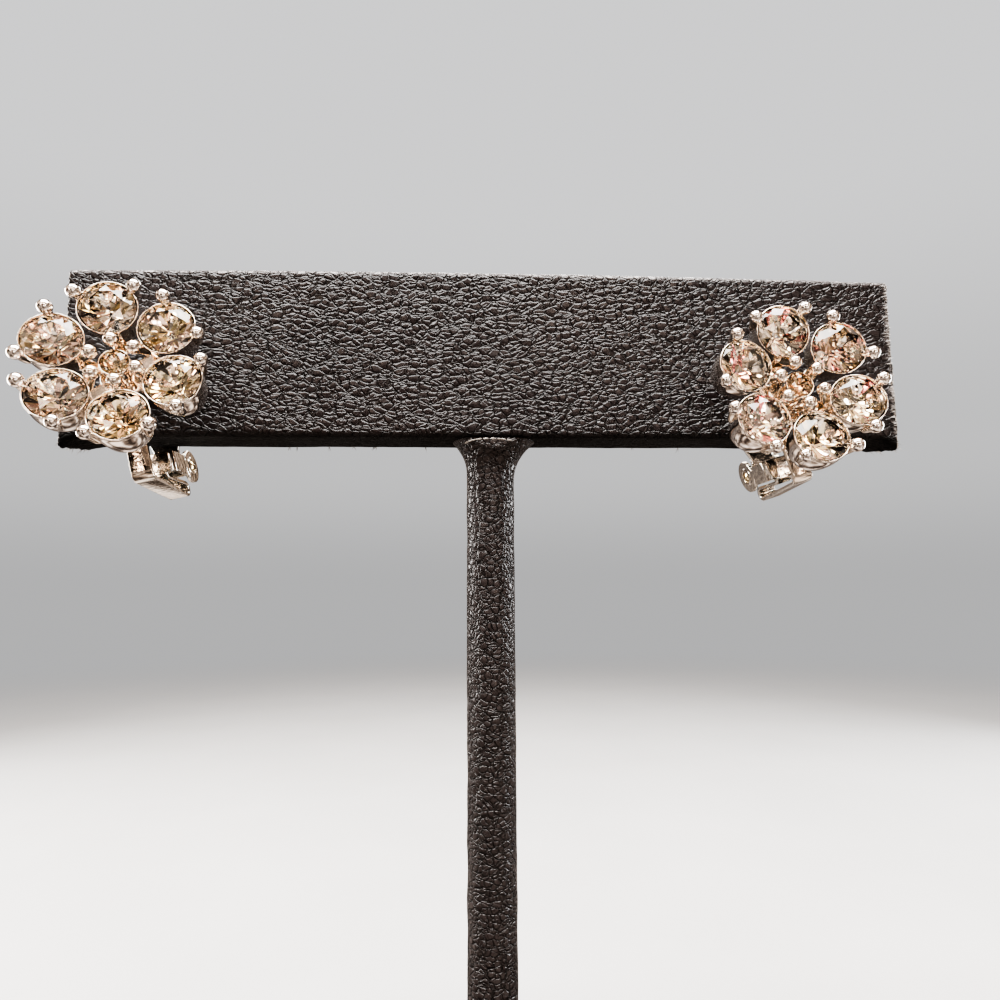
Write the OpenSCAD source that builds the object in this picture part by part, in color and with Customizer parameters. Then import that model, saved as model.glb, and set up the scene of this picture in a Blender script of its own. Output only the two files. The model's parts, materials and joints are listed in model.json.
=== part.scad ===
// A pair of flower shaped clip on earrings on a T bar stand.
// Millimetres. X runs along the bar, Y goes away from the viewer, Z is up.
// The origin is the middle of the foot's underside.

/* [Stand] */
// Overall height of the stand
stand_h = 118; // [90:1:160]
// Width of the bar
bar_w = 100; // [96:1:140]
// Height of the bar
bar_h = 20.5; // [17:0.1:26]
// Thickness of the bar
bar_t = 7.4; // [6:0.1:10]
// Radius of the bar's long edges
bar_edge_r = 0.8; // [0.5:0.1:2.5]
// Diameter of the post
post_d = 6; // [5:0.1:6.4]
// How far the post flares to each side under the bar
flare_out = 1.7; // [0.5:0.1:2.5]
// Height of the flare
flare_h = 3.9; // [3:0.1:8]
// Diameter of the dowels that hold the post in the foot and the bar
dowel_d = 3; // [2:0.1:4]
// Depth of each dowel
dowel_l = 5; // [3:0.1:7]
// Gap round a dowel and under the post
seat_gap = 0.05; // [0.02:0.01:0.2]

/* [Foot] */
// Width of the foot
foot_w = 70; // [50:1:100]
// Depth of the foot
foot_d = 50; // [40:1:80]
// Height of the foot
foot_h = 9; // [8:0.5:14]
// Radius of the foot's upright corners
foot_corner_r = 5; // [1:0.5:12]

/* [Stones] */
// Diameter of the six large stones
stone_d = 5.8; // [5:0.1:6.6]
// Diameter of the middle stone
centre_stone_d = 2.75; // [2.2:0.05:3.2]
// Gap between a stone's girdle and its cup
stone_gap = 0.06; // [0.04:0.01:0.12]

/* [Cups] */
// Wall of a cup at its rim
cup_wall = 0.24; // [0.2:0.01:0.4]
// Wall of a cup below its rim
cup_side = 0.34; // [0.28:0.01:0.45]
// Width of the lip that stands out round the rim
lip_w = 0.12; // [0.06:0.01:0.2]
// Width of the sloped seat under the girdle
seat_w = 0.32; // [0.2:0.01:0.4]
// Straight part of a cup's side, as a share of its depth
cup_straight = 0.2; // [0.1:0.05:0.3]
// Bevel round a cup's underside
cup_bevel = 0.35; // [0.1:0.05:0.4]
// Height of a cup's rim above the girdle
rim_h = 0.2; // [0.1:0.01:0.35]
// Radius of a large cup's flat underside
cup_foot_r = 2.4; // [1.5:0.05:2.6]
// Thickness of a cup's floor
cup_floor = 0.5; // [0.46:0.01:0.6]
// Room between a large stone's point and the floor of its cup
cup_well = 0.9; // [0.4:0.05:1.6]
// Gap between neighbouring cups
cup_gap = 0.13; // [0.08:0.01:0.3]
// How far the ring of cups stands in front of the middle one
petal_lift = 0.54; // [0.2:0.01:1]
// Lean of the large cups towards the middle
petal_lean = 7; // [0:0.5:12]
// Radius of the middle cup's underside
centre_foot_r = 1.15; // [0.9:0.05:1.3]

/* [Prongs] */
// Diameter of the ball on a prong
ball_d = 1.56; // [1.2:0.02:1.7]
// Diameter of the prong wires
prong_d = 0.94; // [0.6:0.02:1.1]
// Distance from the edge of a cup's underside out to a wire's foot
wire_out = 0.6; // [0.4:0.05:0.8]
// Height of a wire's foot above the cup's underside
wire_up = 1.7; // [0.3:0.1:2]
// How far an outer ball's middle stands off its cup's rim
ball_out = 0.45; // [0.35:0.01:0.6]
// Height of the balls' middles above the girdle
ball_h = 0.52; // [0.4:0.01:0.7]
// Turn of the outer prongs from the line out of the flower
prong_turn = 56; // [45:1:65]
// Gap between the inner balls and the middle cup
inner_ball_gap = 0.12; // [0.06:0.01:0.3]

/* [Back of the flower] */
// Radius of the hub behind the middle cup
hub_r = 2.4; // [1.8:0.1:3]
// Width of the arms under the cups
arm_w = 1.5; // [1:0.1:2.4]
// How deep the arms lie in the floors of the cups
arm_sink = 0.18; // [0.14:0.01:0.24]
// Thickness of the hub and its arms
back_t = 0.85; // [0.6:0.05:1.2]
// Diameter of the solder post between the flower and its clip
solder_d = 3; // [2.2:0.1:4]
// Distance from the middle stone's girdle to the front of the bar
stand_off = 7.2; // [6.6:0.1:9]

/* [Clip] */
// Width of the clip's band
band_w = 2.4; // [2:0.1:3.2]
// Thickness of the band, the box and the ears
band_t = 0.5; // [0.4:0.05:0.6]
// Gap between the metal and the bar, in front and behind
bar_gap = 0.3; // [0.2:0.05:0.5]
// Gap between the box and the bar's underside
under_gap = 0.9; // [0.6:0.1:2.5]
// Radius of the front bend, at the middle of the band
front_bend_r = 1; // [0.6:0.05:1.4]
// Radius of the spring loop, at the middle of the band
loop_r = 0.75; // [0.5:0.05:0.9]
// Slope of the band under the bar
band_slope = 5; // [0:0.5:6]
// How far the band reaches above the middle of its solder joint
band_top = 2; // [1.6:0.1:3]

/* [Hinge box] */
// Width across the box and its ears
box_w = 4.6; // [4:0.1:5.5]
// Distance from the bar's front face to the front of the box
box_back = 3.5; // [2.5:0.1:4.2]
// Height of the box above the hinge pin
box_rise = 1.1; // [0.9:0.05:1.5]
// Depth of the box below the hinge pin
box_sink = 1.45; // [1.3:0.05:1.9]
// Radius of the box's upright corners
box_corner_r = 0.7; // [0.55:0.05:1]
// Radius of the bend between the box and the spring leaf
box_bend_r = 0.5; // [0.3:0.05:0.7]
// Diameter of the ears
ear_d = 4.2; // [3.8:0.1:4.6]
// Width of the slits between an ear and the box
slit_w = 0.16; // [0.1:0.01:0.3]
// Height of the neck that joins an ear to the box
neck_h = 1.2; // [0.8:0.1:1.6]

/* [Lever] */
// Distance from the bar's back face to the hinge pin
pin_back = 1.9; // [1.7:0.05:2.6]
// Diameter of the hinge pin
pin_d = 1.4; // [1.1:0.05:1.6]
// Running clearance round the hinge pin
pin_gap = 0.05; // [0.02:0.01:0.1]
// How far the pin's domed ends stand out of the ears
pin_out = 0.25; // [0.1:0.05:0.4]
// Diameter of the lever's hub
lever_hub_d = 2.2; // [1.9:0.05:2.5]
// Gap between the hub and each ear
hub_gap = 0.12; // [0.08:0.01:0.25]
// Thickness of the lever's plate
lever_t = 0.6; // [0.45:0.05:0.8]
// Height of the middle of the paddle above the hinge pin
paddle_rise = 9.4; // [8.5:0.1:11]
// Radius of the paddle's round end
paddle_r = 3.5; // [3:0.1:4.2]
// Half width of the lever where it leaves the hub
lever_neck_r = 1.5; // [1.2:0.05:1.6]
// Width of the rim round the paddle's opening
paddle_rim = 1.3; // [1:0.05:1.6]
// Radius of the curl at the top of the paddle
curl_r = 6; // [4:0.5:12]

/* [Left earring] */
// Distance from the bar's left end to the middle of the clip
left_inset = 9.4; // [8:0.1:20]
// Lean of the clip, counter-clockwise from the front
left_lean = 13; // [-15:1:15]
// Sideways place of the flower's middle on its clip
left_side = 1.9; // [-0.5:0.1:2.2]
// Height of the flower's middle above the hinge pin
left_rise = 8.8; // [8.5:0.1:10]
// Turn of the flower
left_turn = 11.4; // [-15:0.1:30]
// Tilt of the flower, upwards
left_tilt = 12.8; // [0:0.1:14]
// Tilt of the flower, to the right
left_yaw = 8.3; // [-9:0.1:9]

/* [Right earring] */
// Distance from the bar's right end to the middle of the clip
right_inset = 13.1; // [8:0.1:22]
// Lean of the clip, counter-clockwise from the front
right_lean = 18; // [-18:1:18]
// Sideways place of the flower's middle on its clip
right_side = 0; // [-2:0.1:2]
// Height of the flower's middle above the hinge pin
right_rise = 7.7; // [7.5:0.1:10]
// Turn of the flower
right_turn = 12; // [-15:0.1:30]
// Tilt of the flower, upwards
right_tilt = 9.1; // [0:0.1:14]
// Tilt of the flower, to the right
right_yaw = 0.3; // [-9:0.1:9]

/* [Hidden] */
$fn = 48;
petals = 6;
mains = 8;
leather = "#17161a";
silver = "#c9c7c5";
crystal = "#efe3d8";

// How far a cut runs on past what it cuts.
cut = 1;

// Radius of the dome on each end of the pin, as a share of the pin's diameter.
dome_share = 0.75;

// A cut stone's parts, as shares of its diameter.
table_share = 0.56;
crown_share = 0.16;
girdle_share = 0.03;
pavilion_share = 0.43;
star_share = 0.5;
lower_share = 0.25;

// The stand.
bar_z = stand_h - bar_h;
bar_front = -bar_t / 2;
bar_rear = bar_t / 2;

// The cups and prongs.
cup_r = stone_d / 2 + stone_gap + cup_wall;
cup_depth = stone_d * pavilion_share + cup_well + cup_floor;
ring_r = 2 * cup_r + cup_gap;
centre_cup_r = centre_stone_d / 2 + stone_gap + cup_wall;
inner_ball_out = ring_r - centre_cup_r - inner_ball_gap - ball_d / 2 - cup_r;
prong_foot = [cup_foot_r + wire_out, wire_up - cup_depth];

// The back of the flower.
back_top = petal_lift - cup_depth * cos(petal_lean) + arm_sink;
arm_l = ring_r + cup_depth * sin(petal_lean);

// The side view of the clip, as distances behind the bar's middle and heights above the hinge pin.
pin_y = bar_rear + pin_back;
arm_y = bar_front - bar_gap - band_t / 2;
box_y = bar_front + box_back;
bend_step = 10;
plate_v = box_y - pin_y + band_t / 2;
leaf_v = -box_sink - box_bend_r;
loop_v = leaf_v - loop_r;
run_l = (pin_y - loop_r * sin(band_slope) - arm_y - front_bend_r + front_bend_r * sin(band_slope))
    / cos(band_slope);
bend_v = loop_v + (front_bend_r - loop_r) * cos(band_slope) + run_l * sin(band_slope);

// The lever stands off the bar as the band does.
lever_y = -pin_back + bar_gap;
curl_v = paddle_rise - paddle_r / 2;
dome_r = pin_d * dome_share;

// One earring: place, lean, side, rise, turn, tilt, yaw.
LEFT = [left_inset - bar_w / 2, left_lean, left_side, left_rise, left_turn, left_tilt, left_yaw];
RIGHT = [bar_w / 2 - right_inset, right_lean, right_side, right_rise, right_turn, right_tilt, right_yaw];
function place(e) = e[0];
function lean(e) = e[1];
function side(e) = e[2];
function rise(e) = e[3];
function turn(e) = e[4];
function tilt(e) = e[5];
function yaw(e) = e[6];

// The pin hangs as far below the bar as the leaning box needs.
function pin_z(e) = bar_z - under_gap - box_rise * cos(lean(e)) - box_w / 2 * sin(abs(lean(e)));

// Where the line through the flower's middle meets the clip's front arm.
function joint_reach(e) = (stand_off + arm_y - bar_front) / (cos(tilt(e)) * cos(yaw(e)));
function joint_drop(e) = joint_reach(e) * sin(tilt(e));

// Frames. In a clip's frame the hinge pin is the origin and X runs along it. In a flower's frame Z
// points out of the middle stone and Y at the first cup. In a cup's frame the girdle lies at Z 0.
module in_clip(e) {
    translate([place(e), pin_y, pin_z(e)])
        rotate([0, -lean(e), 0])
            children();
}

module in_flower(e) {
    in_clip(e)
        translate([side(e), bar_front - stand_off - pin_y, rise(e)])
            rotate([0, lean(e), 0])
                rotate([90 - tilt(e), 0, yaw(e)])
                    rotate([0, 0, turn(e)])
                        children();
}

module in_cup(i) {
    rotate([0, 0, i * 360 / petals])
        translate([0, ring_r, petal_lift])
            rotate([petal_lean, 0, 0])
                children();
}

// A shape drawn in side view, Y to the rear and Z up, made w wide about the clip's middle.
module across(w) {
    rotate([90, 0, 90])
        translate([0, 0, -w / 2])
            linear_extrude(w)
                children();
}

// Stand.
module stand_base() {
    color(leather)
        difference() {
            linear_extrude(foot_h)
                rounded_rect(foot_w, foot_d, foot_corner_r);
            translate([0, 0, foot_h - dowel_l - seat_gap])
                cylinder(d = dowel_d + 2 * seat_gap, h = dowel_l + cut);
        }
}

module stand_post() {
    top = bar_z - seat_gap;
    color(leather)
        union() {
            translate([0, 0, foot_h + seat_gap])
                cylinder(d = post_d, h = top - foot_h - seat_gap);
            intersection() {
                translate([0, 0, top])
                    rotate_extrude()
                        flare_profile();
                translate([-bar_w / 2, bar_front, 0])
                    cube([bar_w, bar_t, stand_h]);
            }
            translate([0, 0, foot_h - dowel_l])
                cylinder(d = dowel_d, h = bar_z - foot_h + 2 * dowel_l);
        }
}

// The flare's outline below the bar: a hollow arc that starts upright at the post.
module flare_profile() {
    arc_r = (pow(flare_h, 2) + pow(flare_out, 2)) / (2 * flare_out);
    difference() {
        translate([0, -flare_h])
            square([post_d / 2 + flare_out, flare_h]);
        translate([post_d / 2 + arc_r, -flare_h])
            circle(r = arc_r);
    }
}

module stand_bar() {
    color(leather)
        difference() {
            translate([-bar_w / 2, 0, bar_z + bar_h / 2])
                rotate([90, 0, 90])
                    linear_extrude(bar_w)
                        rounded_rect(bar_t, bar_h, bar_edge_r);
            translate([0, 0, bar_z - cut])
                cylinder(d = dowel_d + 2 * seat_gap, h = dowel_l + seat_gap + cut);
        }
}

module rounded_rect(w, d, r) {
    square([w - 2 * r, d], center = true);
    square([w, d - 2 * r], center = true);
    for (x = [-1, 1], y = [-1, 1])
        translate([x * (w / 2 - r), y * (d / 2 - r)])
            circle(r = r);
}

// Stones: a round brilliant with its girdle's middle at Z 0 and its table upwards.
module brilliant(d) {
    r = d / 2;
    g = d * girdle_share / 2;
    h = d * crown_share;
    p = d * pavilion_share - g;
    rt = r * table_share;
    half = 180 / mains;
    xs = rt + (r - rt) * star_share;
    xl = r * lower_share;
    n = 2 * mains;
    function ring(radius, z, count, start) =
        [for (i = [0 : count - 1])
            let (a = start + i * 360 / count) [radius * cos(a), radius * sin(a), z]];
    table = ring(rt, g + h, mains, 0);
    stars = ring(xs / cos(half), g + h * (r - xs) / (r - rt), mains, half);
    upper = ring(r, g, n, 0);
    lower = ring(r, -g, n, 0);
    knees = ring(xl / cos(half), -g - p * (1 - xl / r), mains, half);
    s0 = mains;
    u0 = 2 * mains;
    w0 = u0 + n;
    k0 = w0 + n;
    culet = k0 + mains;
    function m(i) = (i + mains) % mains;
    function k(i) = (i + n) % n;
    polyhedron(
        points = concat(table, stars, upper, lower, knees, [[0, 0, -g - p]]),
        faces = concat(
            [[for (i = [0 : mains - 1]) mains - 1 - i]],
            [for (i = [0 : mains - 1]) [i, m(i + 1), s0 + i]],
            [for (i = [0 : mains - 1]) [i, s0 + i, u0 + 2 * i, s0 + m(i - 1)]],
            [for (i = [0 : mains - 1]) [s0 + i, u0 + 2 * i + 1, u0 + 2 * i]],
            [for (i = [0 : mains - 1]) [s0 + i, u0 + k(2 * i + 2), u0 + 2 * i + 1]],
            [for (i = [0 : n - 1]) [u0 + i, u0 + k(i + 1), w0 + k(i + 1), w0 + i]],
            [for (i = [0 : mains - 1]) [k0 + i, w0 + 2 * i, w0 + 2 * i + 1]],
            [for (i = [0 : mains - 1]) [k0 + i, w0 + 2 * i + 1, w0 + k(2 * i + 2)]],
            [for (i = [0 : mains - 1]) [culet, k0 + m(i - 1), w0 + 2 * i, k0 + i]]
        ),
        convexity = 4
    );
}

module large_stone(e, i) {
    color(crystal)
        in_flower(e)
            in_cup(i)
                brilliant(stone_d);
}

module centre_stone(e) {
    color(crystal)
        in_flower(e)
            brilliant(centre_stone_d);
}

// A cup: a round bowl with a thin lip, a sloped seat and a hollow under the stone.
module cup(r, foot_r, depth, seat_r) {
    body_r = r - lip_w;
    top = -cup_straight * depth;
    low = cup_bevel - depth;
    in = body_r - foot_r;
    side_r = (pow(depth + top, 2) + pow(in, 2)) / (2 * in);
    low_r = body_r - side_r + sqrt(pow(side_r, 2) - pow(low - top, 2));
    ledge = seat_r - seat_w;
    rotate_extrude()
        difference() {
            union() {
                polygon([[0, -depth], [foot_r - cup_bevel, -depth], [low_r, low], [0, low]]);
                intersection() {
                    translate([0, low])
                        square([r, top - low]);
                    translate([body_r - side_r, top])
                        circle(r = side_r);
                }
                translate([0, top])
                    square([body_r, -top]);
                translate([0, -rim_h])
                    square([r, 2 * rim_h]);
            }
            polygon([
                [0, 2 * rim_h], [seat_r, 2 * rim_h], [seat_r, -rim_h / 2], [ledge, -rim_h / 2 - seat_w],
                [0, -rim_h / 2 - seat_w]
            ]);
            intersection() {
                translate([0, cup_floor - depth])
                    square([ledge, depth - cup_floor - seat_w]);
                translate([body_r - side_r, top])
                    circle(r = side_r - cup_side);
            }
        }
}

// A prong: a wire up the side of a cup, turned by a from the line out of the flower, with a ball.
module prong(a, out) {
    rise = ball_h - prong_foot[1];
    run = cup_r + out - prong_foot[0];
    rotate([0, 0, a]) {
        translate([0, prong_foot[0], prong_foot[1]])
            rotate([-atan2(run, rise), 0, 0])
                cylinder(d = prong_d, h = norm([run, rise]));
        translate([0, cup_r + out, ball_h])
            sphere(d = ball_d);
    }
}

// The flower's metal: the ring of cups, the middle cup and the star shaped back.
module flower() {
    for (i = [0 : petals - 1])
        in_cup(i) {
            cup(cup_r, cup_foot_r, cup_depth, stone_d / 2 + stone_gap);
            prong(prong_turn, ball_out);
            prong(-prong_turn, ball_out);
            prong(180, inner_ball_out);
        }
    cup(centre_cup_r, centre_foot_r, back_t / 2 - back_top, centre_stone_d / 2 + stone_gap);
    translate([0, 0, back_top - back_t])
        linear_extrude(back_t)
            star();
}

module star() {
    circle(r = hub_r);
    for (i = [0 : petals - 1])
        rotate(i * 360 / petals) {
            translate([-arm_w / 2, 0])
                square([arm_w, arm_l]);
            translate([0, arm_l])
                circle(d = arm_w);
        }
}

// The solder post ends at the middle of the clip's front arm.
module solder_post(e) {
    intersection() {
        in_flower(e)
            translate([0, 0, -joint_reach(e) - solder_d])
                cylinder(d = solder_d, h = joint_reach(e) + solder_d + back_top - back_t / 2);
        translate([-bar_w, arm_y - 2 * stand_off, 0])
            cube([2 * bar_w, 2 * stand_off, 2 * stand_h]);
    }
}

// The band in side view: front arm, bend, run under the bar, loop, leaf and a tongue in the box's plate.
module band_profile(top) {
    polygon(concat(band_side(top, 1), reverse(band_side(top, -1))));
}

function band_side(top, s) = concat(
    [[arm_y - pin_y - s * band_t / 2, top]],
    bend([arm_y - pin_y + front_bend_r, bend_v], front_bend_r, 180, 270 - band_slope, s),
    bend([0, loop_v], loop_r, -90 - band_slope, 90, s),
    bend([plate_v + box_bend_r, leaf_v + box_bend_r], box_bend_r, 270, 180, -s),
    [for (up = [0, band_t / 4]) [plate_v + s * band_t / 4, up - box_sink]]
);

// One face of a bend of the band, from angle a to angle b about the middle m.
function bend(m, r, a, b, s) =
    let (steps = ceil(abs(b - a) / bend_step))
    [for (i = [0 : steps])
        let (t = a + (b - a) * i / steps) m + (r + s * band_t / 2) * [cos(t), sin(t)]];

function reverse(v) = [for (i = [len(v) - 1 : -1 : 0]) v[i]];

// The hinge box: a channel, open at the back, whose sides end in two round ears.
module hinge_box() {
    reach = pin_y + ear_d / 2 - box_y;
    intersection() {
        translate([0, box_y - pin_y, -box_sink - ear_d])
            linear_extrude(2 * ear_d + box_sink)
                difference() {
                    channel(box_w, box_corner_r, reach + cut);
                    translate([0, band_t])
                        channel(box_w - 2 * band_t, box_corner_r - band_t, reach + 2 * cut);
                }
        across(box_w + cut)
            difference() {
                side_outline();
                circle(d = pin_d + 2 * pin_gap);
            }
    }
}

module channel(w, r, l) {
    translate([-w / 2, r])
        square([w, l]);
    translate([r - w / 2, 0])
        square([w - 2 * r, r + cut]);
    for (s = [-1, 1])
        translate([s * (w / 2 - r), r])
            circle(r = r);
}

// The box's side with the ear, its neck and the slits above and below the neck.
module side_outline() {
    front = box_y - pin_y;
    difference() {
        translate([front, -box_sink])
            square([-front - ear_d / 4, box_sink + box_rise]);
        circle(d = ear_d + 2 * slit_w);
    }
    circle(d = ear_d);
    translate([-ear_d / 2 - slit_w - cut, -neck_h / 2])
        square([ear_d / 2, neck_h]);
}

module setting(e) {
    color(silver)
        union() {
            in_flower(e)
                flower();
            solder_post(e);
            in_clip(e) {
                across(band_w)
                    band_profile(rise(e) - joint_drop(e) + band_top);
                hinge_box();
            }
        }
}

// The lever: a hub on domed trunnions and a thin pierced paddle that curls back at its top.
module lever(e) {
    hub_w = box_w - 2 * band_t - 2 * hub_gap;
    color(silver)
        in_clip(e)
            union() {
                rotate([0, 90, 0])
                    cylinder(d = lever_hub_d, h = hub_w, center = true);
                trunnions();
                intersection() {
                    across(2 * paddle_r + cut)
                        lever_profile();
                    translate([0, lever_hub_d, 0])
                        rotate([90, 0, 0])
                            linear_extrude(lever_hub_d + pin_back)
                                paddle_outline(hub_w);
                }
            }
}

// The pin that both ears turn on, with a dome on each end.
module trunnions() {
    half = box_w / 2 + pin_out;
    straight = half - dome_r + sqrt(pow(dome_r, 2) - pow(pin_d / 2, 2));
    for (s = [0, 1])
        mirror([s, 0, 0])
            rotate([0, 90, 0])
                rotate_extrude() {
                    square([pin_d / 2, straight]);
                    intersection() {
                        translate([0, half - dome_r])
                            circle(r = dome_r);
                        translate([0, straight - pin_out])
                            square([pin_d / 2, dome_r]);
                    }
                }
}

// The lever's plate in side view.
module lever_profile() {
    translate([lever_y, 0])
        square([lever_t, curl_v]);
    translate([lever_y, 0])
        square([-lever_y, lever_hub_d / 2]);
    intersection() {
        translate([lever_y + lever_t + curl_r, curl_v])
            difference() {
                circle(r = curl_r + lever_t);
                circle(r = curl_r);
            }
        translate([lever_y, curl_v])
            square([curl_r, 2 * paddle_r]);
    }
}

// The lever's plate from the front: a drop shape with a drop shaped opening.
module paddle_outline(hub_w) {
    difference() {
        union() {
            translate([-hub_w / 2, 0])
                square([hub_w, lever_hub_d / 2]);
            translate([-lever_neck_r, 0])
                square([2 * lever_neck_r, lever_hub_d]);
            drop(lever_neck_r, lever_hub_d, paddle_r, paddle_rise);
        }
        drop(
            lever_neck_r - paddle_rim / 2, lever_hub_d + 2 * paddle_rim,
            paddle_r - paddle_rim, paddle_rise
        );
    }
}

// A drop: two round ends, one above the other, with the straight sides that touch both.
module drop(r1, v1, r2, v2) {
    a = -asin((r2 - r1) / (v2 - v1));
    polygon(concat(arc(r2, v2, a, 180 - a, 36), arc(r1, v1, 180 - a, 360 + a, 12)));
}

function arc(r, v, a, b, n) =
    [for (i = [0 : n]) [r * cos(a + (b - a) * i / n), v + r * sin(a + (b - a) * i / n)]];

stand_base();
stand_post();
stand_bar();
setting(LEFT);  // left_setting
lever(LEFT);  // left_lever
centre_stone(LEFT);  // left_centre_stone
large_stone(LEFT, 0);  // left_stone_1
large_stone(LEFT, 1);  // left_stone_2
large_stone(LEFT, 2);  // left_stone_3
large_stone(LEFT, 3);  // left_stone_4
large_stone(LEFT, 4);  // left_stone_5
large_stone(LEFT, 5);  // left_stone_6
setting(RIGHT);  // right_setting
lever(RIGHT);  // right_lever
centre_stone(RIGHT);  // right_centre_stone
large_stone(RIGHT, 0);  // right_stone_1
large_stone(RIGHT, 1);  // right_stone_2
large_stone(RIGHT, 2);  // right_stone_3
large_stone(RIGHT, 3);  // right_stone_4
large_stone(RIGHT, 4);  // right_stone_5
large_stone(RIGHT, 5);  // right_stone_6
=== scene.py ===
# %% [markdown]
# # A pair of clip on earrings on their stand
#
# Two flowers of cut crystal hold on to the ends of a leatherette T bar by their clips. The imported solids
# give every place and size, so each piece here is built round them: the stones take their frames from
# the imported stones, and the clips take theirs from the hinge pins.

# %% The tools and the fixed frame
import json
import math
import random

import bpy
import numpy as np
from mathutils import Matrix, Vector, noise


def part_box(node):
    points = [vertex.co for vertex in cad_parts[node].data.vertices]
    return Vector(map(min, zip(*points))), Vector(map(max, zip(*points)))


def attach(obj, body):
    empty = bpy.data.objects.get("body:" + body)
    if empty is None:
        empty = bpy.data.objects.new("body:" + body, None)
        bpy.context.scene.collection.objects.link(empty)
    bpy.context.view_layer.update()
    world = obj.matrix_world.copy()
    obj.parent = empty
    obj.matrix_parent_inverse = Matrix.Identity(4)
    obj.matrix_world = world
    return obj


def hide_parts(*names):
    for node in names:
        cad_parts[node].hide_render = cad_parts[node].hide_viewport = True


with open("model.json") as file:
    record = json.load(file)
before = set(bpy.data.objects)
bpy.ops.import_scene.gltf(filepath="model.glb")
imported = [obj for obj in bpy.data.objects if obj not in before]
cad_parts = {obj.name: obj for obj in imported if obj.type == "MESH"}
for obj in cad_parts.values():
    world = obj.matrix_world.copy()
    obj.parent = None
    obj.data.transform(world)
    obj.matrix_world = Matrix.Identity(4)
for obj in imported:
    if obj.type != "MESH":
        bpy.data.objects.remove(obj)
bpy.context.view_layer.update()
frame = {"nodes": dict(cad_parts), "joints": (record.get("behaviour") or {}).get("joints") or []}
MM = 0.001

# %% [markdown]
# ## The camera
#
# The photograph was taken from close by with a wide lens, a little under the bar's height and looking
# slightly up. A long lens further off would be easier to place, but it would hide the undersides of the
# bar and of the clips, so the camera stands where the bar's corners say that it stood.

# %% The camera
EYE = Vector((-3.33, -85.71, 80.02)) * MM
AHEAD = Vector((0.0523, 0.9914, 0.1204)).normalized()
UPWARDS = Vector((0.0006, -0.1206, 0.9927))
LENS, SENSOR_W = 25.2, 36


def point_along(ahead, up):
    """The turn that looks along ahead, with up towards the top of the picture."""
    right = ahead.cross(up).normalized()
    return Matrix((right, right.cross(ahead), -ahead)).transposed().to_4x4()


camera = bpy.data.objects.new("camera", bpy.data.cameras.new("camera"))
bpy.context.scene.collection.objects.link(camera)
camera.data.lens, camera.data.sensor_width = LENS, SENSOR_W
camera.data.clip_start, camera.data.clip_end = 0.005, 40
camera.matrix_world = Matrix.Translation(EYE) @ point_along(AHEAD, UPWARDS)
bpy.context.scene.camera = camera
# The photograph has deep blacks and bright sparkles, which the plain view would flatten.
bpy.context.scene.view_settings.look = "AgX - High Contrast"
print("camera height:", round(EYE.z / MM), "mm")

# %% [markdown]
# ## The studio
#
# Polished metal and foiled stones show what stands round them, so the light matters as much as the
# finish. One wide soft box hangs over the bar and draws the bright line on each ball, and with a painted
# highlight the one along the bar's top edge. Two narrower ones stand behind it at the sides, and a weak
# one is high at the rear. A plain white dome would be simpler, but it would turn all the metal white.

# %% Soft boxes
MIDDLE = (0, 0, 100)


def soft_box(name, place, size, power, colour=(1, 1, 1)):
    """A rectangular lamp that faces the bar. Places and sizes are in millimetres."""
    lamp = bpy.data.lights.new(name, "AREA")
    lamp.shape, lamp.size, lamp.size_y = "RECTANGLE", size[0] * MM, size[1] * MM
    lamp.energy, lamp.color = power, colour
    obj = bpy.data.objects.new(name, lamp)
    bpy.context.scene.collection.objects.link(obj)
    ahead = (Vector(MIDDLE) - Vector(place)).normalized()
    side = Vector((0, 1, 0)) if abs(ahead.z) > 0.9 else Vector((0, 0, 1))
    obj.matrix_world = Matrix.Translation(Vector(place) * MM) @ point_along(ahead, side)
    return obj


soft_box("overhead_box", (-20, -60, 430), (420, 200), 5.0, (1, 0.985, 0.97))
soft_box("left_box", (-330, 170, 150), (130, 200), 1.6, (1, 0.97, 0.94))
soft_box("right_box", (350, 200, 150), (100, 200), 1.2, (0.96, 0.98, 1))
soft_box("rear_box", (60, 380, 400), (300, 160), 1.3)

# %% [markdown]
# Small lamps round the camera are the points of light that the cut stones break up. None of them stands
# where a stone's flat table would mirror it into the camera, because that would veil the whole stone.
# One large lamp there would light the stones as well, but without a sparkle.

# %% Sparkles
SPARKLE_Y, SPARKLE_GLOW = -430, 15
PEACH_LIGHT, WHITE_LIGHT = (1, 0.80, 0.64), (1, 0.98, 0.95)
SPARKLES = [
    (-300, 250, 54, WHITE_LIGHT), (-165, 318, 70, PEACH_LIGHT), (20, 290, 46, WHITE_LIGHT),
    (146, 356, 70, PEACH_LIGHT), (320, 230, 46, WHITE_LIGHT), (-230, 110, 48, PEACH_LIGHT),
    (90, 60, 40, WHITE_LIGHT), (250, 90, 56, PEACH_LIGHT)]

for i, (x, z, size, colour) in enumerate(SPARKLES):
    power = SPARKLE_GLOW * (size * MM) ** 2 * math.pi
    soft_box(f"sparkle_{i}", (x, SPARKLE_Y, z), (size, size), power, colour)
print("sparkles:", len(SPARKLES))

# %% [markdown]
# ## Short words for nodes
#
# Every finish here is a tree of nodes. They could be wired one by one, but then the wiring would hide
# what a finish does. So each common node gets a short word that adds it, fills it and hands back the
# value that comes out, and a finish reads like a sum.

# %% Short words for nodes
def fill(tree, node, inputs):
    """Joins a node's inputs to other nodes, or fills them with values."""
    for key, value in inputs.items():
        if isinstance(value, bpy.types.NodeSocket):
            tree.links.new(value, node.inputs[key])
        else:
            node.inputs[key].default_value = value


def put(tree, kind, inputs=None, **settings):
    """Adds a node, sets it up and fills it."""
    made = tree.nodes.new("ShaderNode" + kind)
    for key, value in settings.items():
        setattr(made, key, value)
    fill(tree, made, inputs or {})
    return made


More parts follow.
